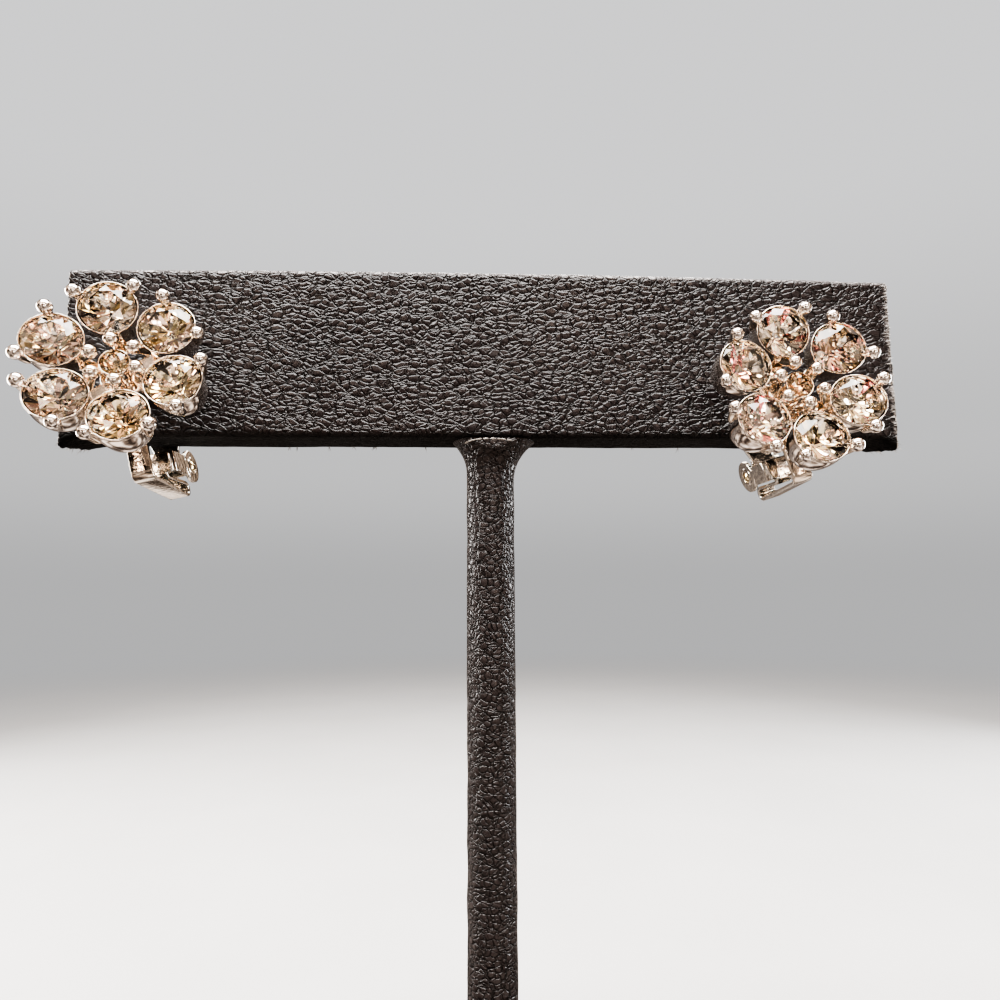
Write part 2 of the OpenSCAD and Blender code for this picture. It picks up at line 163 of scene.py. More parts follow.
def calc(tree, operation, *values, clamp=False):
    """A sum of one to three numbers."""
    numbers = dict(enumerate(values))
    return put(tree, "Math", numbers, operation=operation, use_clamp=clamp).outputs[0]


def shift(tree, operation, *vectors, **scale):
    """A sum of one to three places."""
    made = put(tree, "VectorMath", {**dict(enumerate(vectors)), **scale}, operation=operation)
    return made.outputs["Value" if operation == "LENGTH" else "Vector"]


def spread(tree, value, low, high, to_low=0.0, to_high=1.0, smooth=False):
    """Stretches the numbers from low to high over those from to_low to to_high."""
    limits = {"From Min": low, "From Max": high, "To Min": to_low, "To Max": to_high}
    kind = "SMOOTHSTEP" if smooth else "LINEAR"
    return put(tree, "MapRange", {"Value": value, **limits}, interpolation_type=kind).outputs["Result"]


def blend(tree, share, a, b, kind="RGBA", how="MIX"):
    """A colour, or a number, between a and b."""
    a, b = ((*c, 1) if isinstance(c, tuple) else c for c in (a, b))
    made = put(tree, "Mix", {"Factor": share, "A": a, "B": b}, data_type=kind, blend_type=how)
    return made.outputs["Result"]


def ramp(tree, value, stops, interpolation="LINEAR"):
    """A colour ramp through its stops, each a place and a colour."""
    made = put(tree, "ValToRGB", {"Fac": value})
    bands = made.color_ramp
    bands.interpolation = interpolation
    while len(bands.elements) < len(stops):
        bands.elements.new(0.5)
    for element, (place, colour) in zip(bands.elements, stops):
        element.position, element.color = place, (*colour, 1)
    return made.outputs["Color"]


def clouds(tree, places, scale, detail, **more):
    """Soft noise between nought and one."""
    shape = {"Vector": places, "Scale": scale, "Detail": detail, **more}
    return put(tree, "TexNoise", shape).outputs["Fac"]


def stored(tree, name):
    """A number that the mesh carries."""
    return put(tree, "Attribute", attribute_name=name).outputs["Fac"]


def raised(tree, height, depth):
    """The slopes of a low relief that is at most depth millimetres high."""
    relief = {"Height": height, "Strength": 1.0, "Distance": depth * MM}
    return put(tree, "Bump", relief).outputs["Normal"]


def object_mm(tree):
    """Places on the piece, in millimetres, so that a scale of one is one wave a millimetre."""
    return shift(tree, "SCALE", put(tree, "TexCoord").outputs["Object"], Scale=1 / MM)


print("node words:", ", ".join(f.__name__ for f in (calc, shift, spread, blend, ramp, clouds, raised)))

# %% [markdown]
# ## The room
#
# The room is what metal and stones mirror. A real one is pale above and dark below, with clutter in it,
# and that is what gives the facets their dark and light. A picture of a room would do the same, but two
# ramps and one noise need no file and repeat nothing. Where the camera looks past the stand it sees a
# plain sweep of grey instead.

# %% The room
HORIZON = (0.42, 0.42, 0.425)
ROOM_TONES = [(0.0, (0.12, 0.10, 0.09)), (0.48, (0.07, 0.06, 0.055)), (0.60, (0.21, 0.18, 0.16)),
              (0.75, (0.60, 0.55, 0.51)), (1.0, (0.8, 0.8, 0.8))]
ROOM_CLUTTER = [(0.44, (0.06, 0.05, 0.045)), (0.5, (0.7, 0.6, 0.52)), (0.57, (2.4, 2.1, 1.85))]
SWEEP_TONES = [(0.0, HORIZON), (0.35, (0.54, 0.54, 0.545)), (1.0, (0.72, 0.72, 0.73))]


def light_room():
    """The surroundings: plain where the camera looks, and broken up where metal does."""
    world = bpy.data.worlds.new("studio")
    world.use_nodes = True
    bpy.context.scene.world = world
    tree = world.node_tree
    tree.nodes.clear()
    way = put(tree, "TexCoord").outputs["Generated"]
    height = put(tree, "SeparateXYZ", {"Vector": way}).outputs["Z"]
    graded = ramp(tree, spread(tree, height, -1, 1), ROOM_TONES)
    broken = ramp(tree, clouds(tree, way, 2.6, 1.5), ROOM_CLUTTER)
    room = blend(tree, 1.0, graded, broken, how="MULTIPLY")
    sweep = ramp(tree, spread(tree, height, 0.0, 0.5), SWEEP_TONES, "EASE")
    seen = put(tree, "LightPath").outputs["Is Camera Ray"]
    background = put(tree, "Background", {"Color": blend(tree, seen, room, sweep)})
    put(tree, "OutputWorld", {"Surface": background.outputs[0]})
    return world


print("room:", light_room().name)

# %% [markdown]
# ## Places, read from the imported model
#
# Each packed stone is a round brilliant, so its own corners say where its axis and girdle are. A list of
# places typed in by hand would go wrong as soon as a size changed. The hinge pins are in the record's
# joints, and the left and right clips are drawn in the frames of their pins.

# %% Frames of the stones and the clips
SIDES = ("left", "right")
PETALS = 6


def corners(node):
    """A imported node's own corners, in metres, each of them once."""
    mesh = frame["nodes"][node].data
    points = np.array([v.co for v in mesh.vertices], float).reshape(-1, 3)
    return np.unique(np.round(points, 7), axis=0)


def stone_place(node):
    """A stone's girdle circle: its middle, the way that its table faces, and its diameter."""
    points = corners(node)
    middle = points.mean(0)
    spreads, ways = np.linalg.eigh(np.cov((points - middle).T))
    axis = ways[:, 0] if spreads[1] - spreads[0] > spreads[2] - spreads[1] else ways[:, 2]
    along = (points - middle) @ axis
    across = np.linalg.norm(points - middle - np.outer(along, axis), axis=1)
    rim = along[across > across.max() * 0.998]
    # The point under the stone is one corner, while the table has eight.
    if np.sum(along > along.max() - 1e-6) < np.sum(along < along.min() + 1e-6):
        axis, rim = -axis, -rim
    return Vector(middle + axis * rim.mean()), Vector(axis), 2 * across.max()


def upright_frame(place, axis, out):
    """A frame with Z along axis and Y as near as it can be to out."""
    y = (out - axis * out.dot(axis)).normalized()
    turn = Matrix((y.cross(axis), y, axis)).transposed().to_4x4()
    return Matrix.Translation(place) @ turn


def clip_frame(side):
    """The frame of a clip: its hinge pin lies along X, with Z towards the flower."""
    joint = next(j for j in frame["joints"] if j["child"] == side + "_lever")
    along, back = -Vector(joint["axis"]).normalized(), Vector((0, 1, 0))
    turn = Matrix((along, back, along.cross(back))).transposed().to_4x4()
    return Matrix.Translation(Vector(joint["pos_m"])) @ turn


FLOWERS, CLIPS = {}, {}
for side in SIDES:
    heart, facing, heart_d = stone_place(side + "_centre_stone")
    petals = []
    for i in range(1, PETALS + 1):
        place, axis, d = stone_place(f"{side}_stone_{i}")
        petals.append((upright_frame(place, axis, place - heart), d))
    first = petals[0][0].translation - heart
    FLOWERS[side] = {"middle": (upright_frame(heart, facing, first), heart_d), "petals": petals}
    CLIPS[side] = clip_frame(side)
    print(side, "flower:", round(2 * first.length / MM + petals[0][1] / MM, 1), "mm across its stones")

# %% [markdown]
# ## Helpers for meshes
#
# Nearly every part of an earring is turned, drawn through a die or cut from sheet. So three helpers are
# enough: one turns an outline round an axis, one draws a section along a path, and one cuts a plate with
# softened edges. They could also be modifiers on simple objects, but corners that are worked out here
# can be bent, pressed and lumped before they become a mesh.

# %% Turning and drawing
def arc(middle, radius, start, end, steps):
    """Points on an arc about middle, from one angle to another, in degrees."""
    angles = [math.radians(start + (end - start) * i / steps) for i in range(steps + 1)]
    return [(middle[0] + radius * math.cos(a), middle[1] + radius * math.sin(a)) for a in angles]


def turned(outline, sides):
    """Turns an outline of (radius, height) points round Z. Points on the axis close it."""
    points, rings = [], []
    for r, z in outline:
        ring = [0.0] if r < 1e-6 else [2 * math.pi * i / sides for i in range(sides)]
        rings.append(range(len(points), len(points) + len(ring)))
        points += [(r * math.cos(a), r * math.sin(a), z) for a in ring]
    faces = []
    for low, high in zip(rings, rings[1:]):
        for i in range(sides):
            quad = [(low, i), (low, i + 1), (high, i + 1), (high, i)]
            face = list(dict.fromkeys(ring[k % len(ring)] for ring, k in quad))
            if len(face) > 2:
                faces.append(face)
    return points, faces


def joined(rings, n, inwards=False):
    """Quads between rings of n corners each, wound the other way about for inwards."""
    faces = []
    for k in range(rings - 1):
        for i in range(n):
            here, there, j = k * n, (k + 1) * n, (i + 1) % n
            face = [here + i, here + j, there + j, there + i]
            faces.append(face[:1] + face[:0:-1] if inwards else face)
    return faces


def ends(count, n):
    """The first and the last of the rings of n among count corners, as faces."""
    return [list(range(n))[::-1], list(range(count - n, count))]


def rounded_section(width, height, radius, steps=3):
    """A rectangle with rounded corners, as points round its middle."""
    x, y = width / 2 - radius, height / 2 - radius
    spots = [((x, y), 0), ((-x, y), 90), ((-x, -y), 180), ((x, -y), 270)]
    return [p for middle, a in spots for p in arc(middle, radius, a, a + 90, steps)]


def drawn(path, section):
    """Draws a section along a path of (y, z) points. The section's first number runs along X."""
    points = []
    for k, (y, z) in enumerate(path):
        before, after = Vector(path[max(k - 1, 0)]), Vector(path[min(k + 1, len(path) - 1)])
        ahead = (after - before).normalized()
        side = Vector((ahead.y, -ahead.x))
        points += [(u, y + side.x * v, z + side.y * v) for u, v in section]
    return points, joined(len(path), len(section)) + ends(len(points), len(section))


print("a test ring has", len(turned([(1, 0), (1, 1)], 24)[1]), "faces")


# %% Cutting plates
def cut_plate(outlines, thickness, edge):
    """A plate in the XY plane, middle at Z 0, with softened edges. Later outlines are its holes."""
    curve = bpy.data.curves.new("plate", "CURVE")
    curve.dimensions, curve.fill_mode = "2D", "BOTH"
    curve.extrude, curve.bevel_depth, curve.offset = thickness / 2 - edge, edge, -edge
    curve.bevel_resolution = 2
    for outline in outlines:
        spline = curve.splines.new("POLY")
        spline.points.add(len(outline) - 1)
        spline.use_cyclic_u = True
        for spot, (x, y) in zip(spline.points, outline):
            spot.co = (x, y, 0, 1)
    blank = bpy.data.objects.new("plate", curve)
    bpy.context.scene.collection.objects.link(blank)
    seen = blank.evaluated_get(bpy.context.evaluated_depsgraph_get())
    mesh = bpy.data.meshes.new_from_object(seen)
    points = [tuple(v.co) for v in mesh.vertices]
    faces = [list(p.vertices) for p in mesh.polygons]
    bpy.data.objects.remove(blank)
    bpy.data.curves.remove(curve)
    bpy.data.meshes.remove(mesh)
    return points, faces


print("a test plate has", len(cut_plate([[(0, 0), (1, 0), (0, 1)]], 0.2, 0.05)[1]), "faces")

# %% [markdown]
# A real setting is many shapes soldered into one, so the shapes are gathered on a tray and leave it as a
# single piece. Joining finished objects would do that too, but then each would need its own mesh and
# finish first. The tray also keeps a number for each corner, for the finishes to read: on metal it is how
# much painted warm reflection the corner gets, and on leatherette it is a painted highlight and pale
# rubbing above nought and painted shade below it.

# %% The tray
PART = Matrix.Identity(4)
CREASE = 35


class Tray:
    """Gathers shapes in millimetres until they become one piece."""

    def __init__(self):
        self.points, self.faces, self.finishes, self.painted_light_and_wear = [], [], [], []

    def lay(self, shape, place=PART, finish=0, warm=0.0):
        """Adds a shape. warm is a number, or a function of a point in the shape's own frame: the painted
        light, and on leatherette the pale rubbing, that the finishes read.
        """
        points, faces = shape
        start = len(self.points)
        self.points += [place @ Vector(p) for p in points]
        self.faces += [[start + i for i in face] for face in faces]
        self.finishes += [finish] * len(faces)
        self.painted_light_and_wear += [warm(p) if callable(warm) else warm for p in points]

    def piece(self, name, materials, place=PART, body="root", crease=CREASE, stands_for=()):
        """Makes the piece in metres, in the part's frame, riding on a body."""
        mesh = bpy.data.meshes.new(name)
        mesh.from_pydata([place @ (p * MM) for p in self.points], [], self.faces)
        for material in materials:
            mesh.materials.append(material)
        mesh.polygons.foreach_set("material_index", self.finishes)
        mesh.polygons.foreach_set("use_smooth", [crease > 0] * len(self.faces))
        painted_light_and_wear = mesh.attributes.new("painted_light_and_wear", "FLOAT", "POINT")
        painted_light_and_wear.data.foreach_set("value", self.painted_light_and_wear)
        mesh.update()
        if crease > 0:
            mesh.set_sharp_from_angle(angle=math.radians(crease))
        obj = bpy.data.objects.new(name, mesh)
        bpy.context.scene.collection.objects.link(obj)
        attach(obj, body)
        if stands_for:
            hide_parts(*stands_for)
        return obj


def to_mm(matrix):
    """A frame given in metres, for points in millimetres that piece() will turn into metres."""
    scaled = matrix.copy()
    scaled.translation = matrix.translation / MM
    return scaled


print("edges sharper than", CREASE, "degrees stay sharp")

# %% [markdown]
# ## Plated metal
#
# The real settings are cast, polished and plated with a silvery metal, and they mirror gold and peach
# from the foil under the stones. Here that warm light is a painted reflection: the metal's tint turns warm
# where the mesh says. Mirror metal with one even tint looks like a computer picture, so a node group adds
# what handling and casting leave: a faint wave in the surface, clouds of dullness and a little grime. How
# much painted warm reflection a place gets is stored on the mesh, because only the builder knows which
# side of a cup faces the others.

# %% The wear group
def new_group(name, inputs, outputs):
    """An empty shader group with named sockets."""
    tree = bpy.data.node_groups.new(name, "ShaderNodeTree")
    for direction, sockets in (("INPUT", inputs), ("OUTPUT", outputs)):
        for label, kind, *value in sockets:
            kind = "NodeSocket" + kind
            made = tree.interface.new_socket(name=label, in_out=direction, socket_type=kind)
            if value:
                made.default_value = value[0]
    return tree, tree.nodes.new("NodeGroupInput").outputs, tree.nodes.new("NodeGroupOutput")


def handled_metal_group():
    """Clouds, waves and grime of metal that was cast, polished and handled."""
    tree, given, result = new_group(
        "handled metal",
        [("Vector", "Vector"), ("Dullness", "Float", 0.08), ("Grime", "Float", 0.3)],
        [("Roughness", "Float"), ("Height", "Float"), ("Grime Mask", "Float")])
    dull = spread(tree, clouds(tree, given["Vector"], 0.9, 4, Roughness=0.6), 0.35, 0.7)
    wave = clouds(tree, given["Vector"], 1.6, 2)
    pits = clouds(tree, given["Vector"], 9, 3)
    fill(tree, result, {
        "Roughness": calc(tree, "MULTIPLY_ADD", dull, given["Dullness"], 0.035),
        "Height": calc(tree, "MULTIPLY_ADD", pits, 0.12, wave),
        "Grime Mask": calc(tree, "MULTIPLY", spread(tree, pits, 0.56, 0.72), given["Grime"])})
    return tree


HANDLED = handled_metal_group()
print("group:", HANDLED.name)

# %% The metals
GRIME = (0.16, 0.12, 0.09)


def empty_material(name):
    """A material with nothing but its shader."""
    material = bpy.data.materials.new(name)
    material.use_nodes = True
    tree = material.node_tree
    tree.nodes.clear()
    shader = put(tree, "BsdfPrincipled")
    put(tree, "OutputMaterial", {"Surface": shader.outputs[0]})
    return material, tree, shader


def plated(name, cool, warm, dullness, grime, wave=0.012):
    """A plated metal that goes from its cool tint to its warm one as the mesh says. The warm tint is a
    painted reflection of the stones' light.
    """
    material, tree, shader = empty_material(name)
    given = {"Vector": object_mm(tree), "Dullness": dullness, "Grime": grime}
    worn = put(tree, "Group", given, node_tree=HANDLED).outputs
    # Painted reflection: the stored number turns the cool tint towards the warm one.
    tint = blend(tree, stored(tree, "painted_light_and_wear"), cool, warm)
    fill(tree, shader, {
        "Base Color": blend(tree, worn["Grime Mask"], tint, GRIME), "Metallic": 1.0,
        "Roughness": worn["Roughness"], "Normal": raised(tree, worn["Height"], wave)})
    return material


SILVER = plated("silver plate", (0.94, 0.87, 0.82), (0.96, 0.79, 0.60), 0.12, 0.45)
CLIP_PLATE = plated("clip plate", (0.84, 0.83, 0.79), (0.88, 0.75, 0.62), 0.16, 0.7, wave=0.03)
BRASS = plated("brass pin", (0.78, 0.66, 0.42), (0.80, 0.62, 0.36), 0.2, 0.8)
print("metals:", SILVER.name, "and", CLIP_PLATE.name, "and", BRASS.name)

# %% [markdown]
# ## The stones
#
# A rhinestone is a cut crystal with a foiled back: light enters through the clear crown, bounces
# between the silvered facets below and comes out broken up. So the mesh has two finishes. The crown is
# clear glass that bends light, and each facet below the girdle is a mirror with a tint of its own. The
# tints are painted reflections: most stand for the colours that the real foil and crystal split out, and
# the near black ones for the dark things that some facets mirror. A picture of facets on a flat disc
# would be cheaper, but it would stay the same from every side.

# %% Foil and crystal
# Painted reflections: the near black tint stands for facets that mirror dark things, the red and the blue
# for the crystal's fire.
FOIL_AND_REFLECTION_TINTS = [(0.0, (1.0, 0.95, 0.87)), (0.24, (1.0, 0.82, 0.64)), (0.38, (1.0, 0.92, 0.70)),
              (0.50, (1.0, 0.79, 0.68)), (0.60, (0.92, 0.84, 0.72)), (0.67, (1.0, 0.965, 0.90)),
              (0.86, (0.10, 0.092, 0.09)), (0.90, (1.0, 0.84, 0.54)), (0.96, (0.94, 0.40, 0.40)),
              (0.985, (0.26, 0.26, 0.74))]
# The stone's own amber, varied facet by facet as painted reflections.
HONEY_AND_REFLECTION_TINTS = [(0.0, (0.99, 0.86, 0.66)), (0.3, (0.96, 0.72, 0.54)), (0.55, (0.99, 0.93, 0.78)),
               (0.75, (0.50, 0.36, 0.26)), (0.86, (0.99, 0.96, 0.90))]
LEAD_CRYSTAL_IOR = 1.62


def foil(name, tints):
    """Silvered facets. The mesh gives each facet a number, and the number picks its tint, a painted
    reflection.
    """
    material, tree, shader = empty_material(name)
    number = stored(tree, "facet")
    # The number's far decimals say how dull the facet is, whatever its tint.
    shuffled = calc(tree, "FRACT", calc(tree, "MULTIPLY", number, 17.0))
    patches = clouds(tree, object_mm(tree), 2.5, 2)
    rough = calc(tree, "MULTIPLY_ADD", patches, 0.05, calc(tree, "MULTIPLY", shuffled, 0.07))
    tint = ramp(tree, number, tints, "CONSTANT")
    fill(tree, shader, {"Base Color": tint, "Roughness": rough, "Metallic": 1.0})
    return material


def crystal(name, tint):
    """Clear lead crystal, with faint polishing marks on its facets."""
    material, tree, shader = empty_material(name)
    tone = ramp(tree, clouds(tree, object_mm(tree), 3, 3), [(0.3, tint), (0.7, (1, 1, 1))])
    fill(tree, shader, {"Base Color": tone, "Metallic": 0.0, "Roughness": 0.0,
                        "IOR": LEAD_CRYSTAL_IOR, "Transmission Weight": 1.0})
    return material


FOIL, HONEY_FOIL = foil("silver foil", FOIL_AND_REFLECTION_TINTS), foil("honey foil", HONEY_AND_REFLECTION_TINTS)
CRYSTAL = crystal("clear crystal", (0.99, 0.97, 0.95))
HONEY = crystal("honey crystal", (0.99, 0.93, 0.82))
print("foil tints:", len(FOIL_AND_REFLECTION_TINTS))

# %% [markdown]
# A brilliant is described by a few heights and radii, given here as shares of its diameter: the flat
# table, the star and kite facets of the crown, the girdle, and the long facets that meet in a point
# below. Eight mains is the usual cut. A cone with its edges cut off would come close, but computing the
# rings keeps every facet flat.

# %% Cutting the brilliants
MAINS = 8
TABLE, CROWN, GIRDLE, PAVILION, STAR, LOWER = 0.56, 0.16, 0.03, 0.43, 0.5, 0.25


def ring(radius, height, count, start):
    """Corners of a level ring, from a start angle in degrees."""
    turns = [math.radians(start + i * 360 / count) for i in range(count)]
    return [(radius * math.cos(a), radius * math.sin(a), height) for a in turns]


def brilliant(d):
    """A round brilliant about its girdle's middle. Returns its crown and its pavilion apart."""
    r, g, half = d / 2, d * GIRDLE / 2, 180 / MAINS
    reach = math.cos(math.radians(half))
    drop = d * PAVILION - g
    star_r, knee_r = r * TABLE + (r - r * TABLE) * STAR, r * LOWER
    star = g + d * CROWN * (r - star_r) / (r - r * TABLE)
    points = ring(r * TABLE, g + d * CROWN, MAINS, 0) + ring(star_r / reach, star, MAINS, half)
    points += ring(r, g, 2 * MAINS, 0) + ring(r, -g, 2 * MAINS, 0)
    points += ring(knee_r / reach, -g - drop * (1 - knee_r / r), MAINS, half)
    points.append((0, 0, -g - drop))
    s, u, w, k, tip = MAINS, 2 * MAINS, 4 * MAINS, 6 * MAINS, 7 * MAINS
    crown, pavilion = [list(range(MAINS))], []
    for i in range(MAINS):
        a, b, c = (i + 1) % MAINS, (i - 1) % MAINS, (2 * i + 2) % (2 * MAINS)
        crown += [[i, s + i, a], [i, s + b, u + 2 * i, s + i],
                  [s + i, u + 2 * i, u + 2 * i + 1], [s + i, u + 2 * i + 1, u + c]]
        pavilion += [[k + i, w + 2 * i + 1, w + 2 * i], [k + i, w + c, w + 2 * i + 1],
                     [tip, k + i, w + 2 * i, k + b]]
    for i in range(2 * MAINS):
        j = (i + 1) % (2 * MAINS)
        crown.append([u + i, w + i, w + j, u + j])
    return points, crown, pavilion


def set_stone(node, place, d, glass, back, seed):
    """One stone in its packed place, turned about its axis as chance would have it."""
    rng = random.Random(seed)
    points, crown, pavilion = brilliant(d / MM)
    tray = Tray()
    spin = Matrix.Rotation(rng.uniform(0, 2 * math.pi), 4, "Z")
    tray.lay((points, crown), spin)
    tray.lay((points, pavilion), spin, finish=1)
    stone = tray.piece(node + "_cut", (glass, back), place, crease=0, stands_for=(node,))
    numbers = stone.data.attributes.new("facet", "FLOAT", "FACE")
    numbers.data.foreach_set("value", [rng.random() for _ in stone.data.polygons])
    return stone


for side in SIDES:
    place, d = FLOWERS[side]["middle"]
    set_stone(side + "_centre_stone", place, d, HONEY, HONEY_FOIL, side)
    for i, (place, d) in enumerate(FLOWERS[side]["petals"], 1):
        set_stone(f"{side}_stone_{i}", place, d, CRYSTAL, FOIL, f"{side}{i}")
print("stones:", 2 * (PETALS + 1))

# %% [markdown]
# ## Cups and prongs
#
# The cups are cast with their prongs and soldered into a ring. A cup is turned from one outline: a flat
# foot, a round side, a rolled lip and a seat for the girdle. Each prong is a wire that runs up the side
# and ends in a ball, and wire, neck and ball are one turned outline too, so that the ball grows out of
# its wire as it does in a casting. Boolean cuts would give harder joints and a worse mesh.

# %% Cups
CUP_WALL, LIP_STEP, LIP_ROLL_R, STONE_GAP, RIM_H = 0.24, 0.12, 0.07, 0.04, 0.09
CUP_DEPTH, CUP_FOOT_R, CUP_FOOT_BEVEL, CUP_FLOOR = 3.894, 2.4, 0.35, 0.5
STRAIGHT_SHARE = 0.2
UNEVEN_RISE, UNEVEN_LEAN, UNEVEN_FROM = 0.09, 0.008, 0.4


def cup_outline(seat_r, depth, foot_r):
    """A cup's outline from the middle of its foot up the outside, over the lip and down the inside."""
    lip_r = seat_r + CUP_WALL
    body_r, top = lip_r - LIP_STEP, -STRAIGHT_SHARE * depth
    inset = body_r - foot_r
    side_r = ((depth + top) ** 2 + inset ** 2) / (2 * inset)
    low = math.degrees(math.asin((CUP_FOOT_BEVEL - depth - top) / side_r))
    outline = [(0, -depth), (foot_r - CUP_FOOT_BEVEL, -depth)]
    outline += arc((body_r - side_r, top), side_r, low, 0, 14)
    outline += [(body_r, -0.5), (body_r + 0.02, -0.36), (lip_r - 0.05, -0.2), (lip_r - 0.05, -0.1)]
    outline += arc((lip_r - 0.05 - LIP_ROLL_R, RIM_H - LIP_ROLL_R), LIP_ROLL_R, 0, 180, 8)
    outline += [(seat_r + 0.02, -0.08), (seat_r - 0.32, -0.42), (seat_r * 0.75, -depth * 0.4),
                (foot_r * 0.8, CUP_FLOOR + 0.1 - depth), (0, CUP_FLOOR - depth)]
    return outline


def pressed(shape, seed):
    """A large cup whose lip was pressed over its stone by hand, so that it rises and sinks a little."""
    points, faces = shape
    uneven = []
    for x, y, z in points:
        near_lip = max(0.0, min(1.0, (z + UNEVEN_FROM) / UNEVEN_FROM))
        share = near_lip if math.hypot(x, y) > 2 else 0.0
        wide = noise.noise(Vector((x * 0.9, y * 0.9, seed)))
        bump = wide + 0.4 * noise.noise(Vector((x * 2.6, y * 2.6, seed)))
        lean = 1 - UNEVEN_LEAN * share * bump
        uneven.append((x * lean, y * lean, z + UNEVEN_RISE * share * bump))
    return uneven, faces


def lit_by_stones(point):
    """How much painted reflection of the stones' warm light a cup gets: most inside its rim and on the
    side that faces the others.
    """
    x, y, z = point
    r = math.hypot(x, y)
    inside = 1.0 if z > -0.5 and r < 3.02 else 0.0
    inward = max(0.0, -y / max(r, 0.1)) * 0.75
    near_rim = max(0.0, 1 + z / 1.6) * 0.35
    return min(1.0, max(inside, inward, near_rim))


print("cup outline:", len(cup_outline(2.94, CUP_DEPTH, CUP_FOOT_R)), "points")

# %% Prongs
BALL_R, WIRE_R, NECK_R = 0.78, 0.54, 0.3
PRONG_FOOT_OUT, PRONG_FOOT_UP = 0.45, 1.5
BALL_H, OUTER_BALL_OUT, PRONG_TURN, INNER_GAP = 0.52, 0.45, 56, 0.12
WEB_SINK, WEB_STRETCH, WEB_FADE = 0.3, 1.2, 0.9


def prong(length):
    """A wire that swells into its ball through a hollow neck, with a web towards its cup."""
    reach = BALL_R + NECK_R
    neck = (WIRE_R + NECK_R, length - math.sqrt(reach ** 2 - (WIRE_R + NECK_R) ** 2))
    meet = math.degrees(math.atan2(length - neck[1], -neck[0]))
    outline = [(0, 0), (0.16, 0.03), (0.29, 0.14), (0.38, 0.35), (0.45, 0.8), (WIRE_R, neck[1] - 0.15)]
    outline += arc(neck, NECK_R, 180, meet, 5)
    outline += arc((0, length), BALL_R, meet - 180, 90, 12)[1:-1] + [(0, length + BALL_R)]
    points, faces = turned(outline, 28)
    # Below the ball the inner half of the wire is drawn out until it lies in the side of the cup.
    webbed = []
    for x, y, z in points:
        share = min(1.0, max(0.0, (neck[1] + 0.2 - z) / WEB_FADE))
        sunk = WEB_SINK * max(0.0, 1 - z / WEB_FADE) ** 2
        webbed.append((x, (y * (1 + WEB_STRETCH * share) if y < 0 else y) - sunk, z))
    return webbed, faces


def prong_frame(turn, out, lip_r):
    """The frame of a prong's wire, and its length to the middle of the ball."""
    foot = Vector((0, CUP_FOOT_R + PRONG_FOOT_OUT, PRONG_FOOT_UP - CUP_DEPTH))
    ball = Vector((0, lip_r + out, BALL_H))
    lean = Matrix.Rotation(-math.atan2(ball.y - foot.y, ball.z - foot.z), 4, "X")
    around = Matrix.Rotation(math.radians(turn), 4, "Z")
    return around @ Matrix.Translation(foot) @ lean, (ball - foot).length


def towards_foot(painted_light_and_wear, length):
    """How much painted warm reflection a prong gets: more on its wire than on its ball, and most at its
    foot.
    """
    return lambda p: painted_light_and_wear + 0.4 * max(0.0, 1 - p[2] / length) + 0.25 * (p[2] < length - 0.5)


print("prong corners:", len(prong(3.5)[0]))

# %% [markdown]
# Behind the cups lies a six armed star, and a short post joins it to the clip. Both are hardly seen from
# the front, but from the side they are what holds the flower off the bar. One outline could be cut for
# the whole star, but six plates laid across each other look the same once they are soldered.

# %% The star, the post and the whole flower
STAR_TOP, STAR_T, ARM_W, HUB_R, POST_R = -3.145, 0.85, 1.5, 2.4, 1.5
ARM_PAST_CUP, HEART_FOOT_R = 0.47, 1.15


def arm(length):
    """One arm of the star: a flat strip with a round end."""
    w = ARM_W / 2
    outline = [(w, 0)] + arc((0, length), w, 0, 180, 10) + [(-w, 0)]
    return cut_plate([outline], STAR_T, 0.18)


def hub_and_post(joint_depth):
    """The star's hub, about its own middle, and the outline of the post down to the solder joint."""
    rim = [p for p in rounded_section(2 * HUB_R, STAR_T, 0.2) if p[0] > 0]
    hub = [(0, -STAR_T / 2)] + sorted(rim, key=lambda p: p[1]) + [(0, STAR_T / 2)]
    back = STAR_TOP - STAR_T
    post = [(0, -joint_depth), (POST_R + 0.35, -joint_depth), (POST_R + 0.08, 0.35 - joint_depth),
            (POST_R, 0.8 - joint_depth), (POST_R, back - 0.3), (POST_R + 0.3, back), (0, back)]
    return hub, post


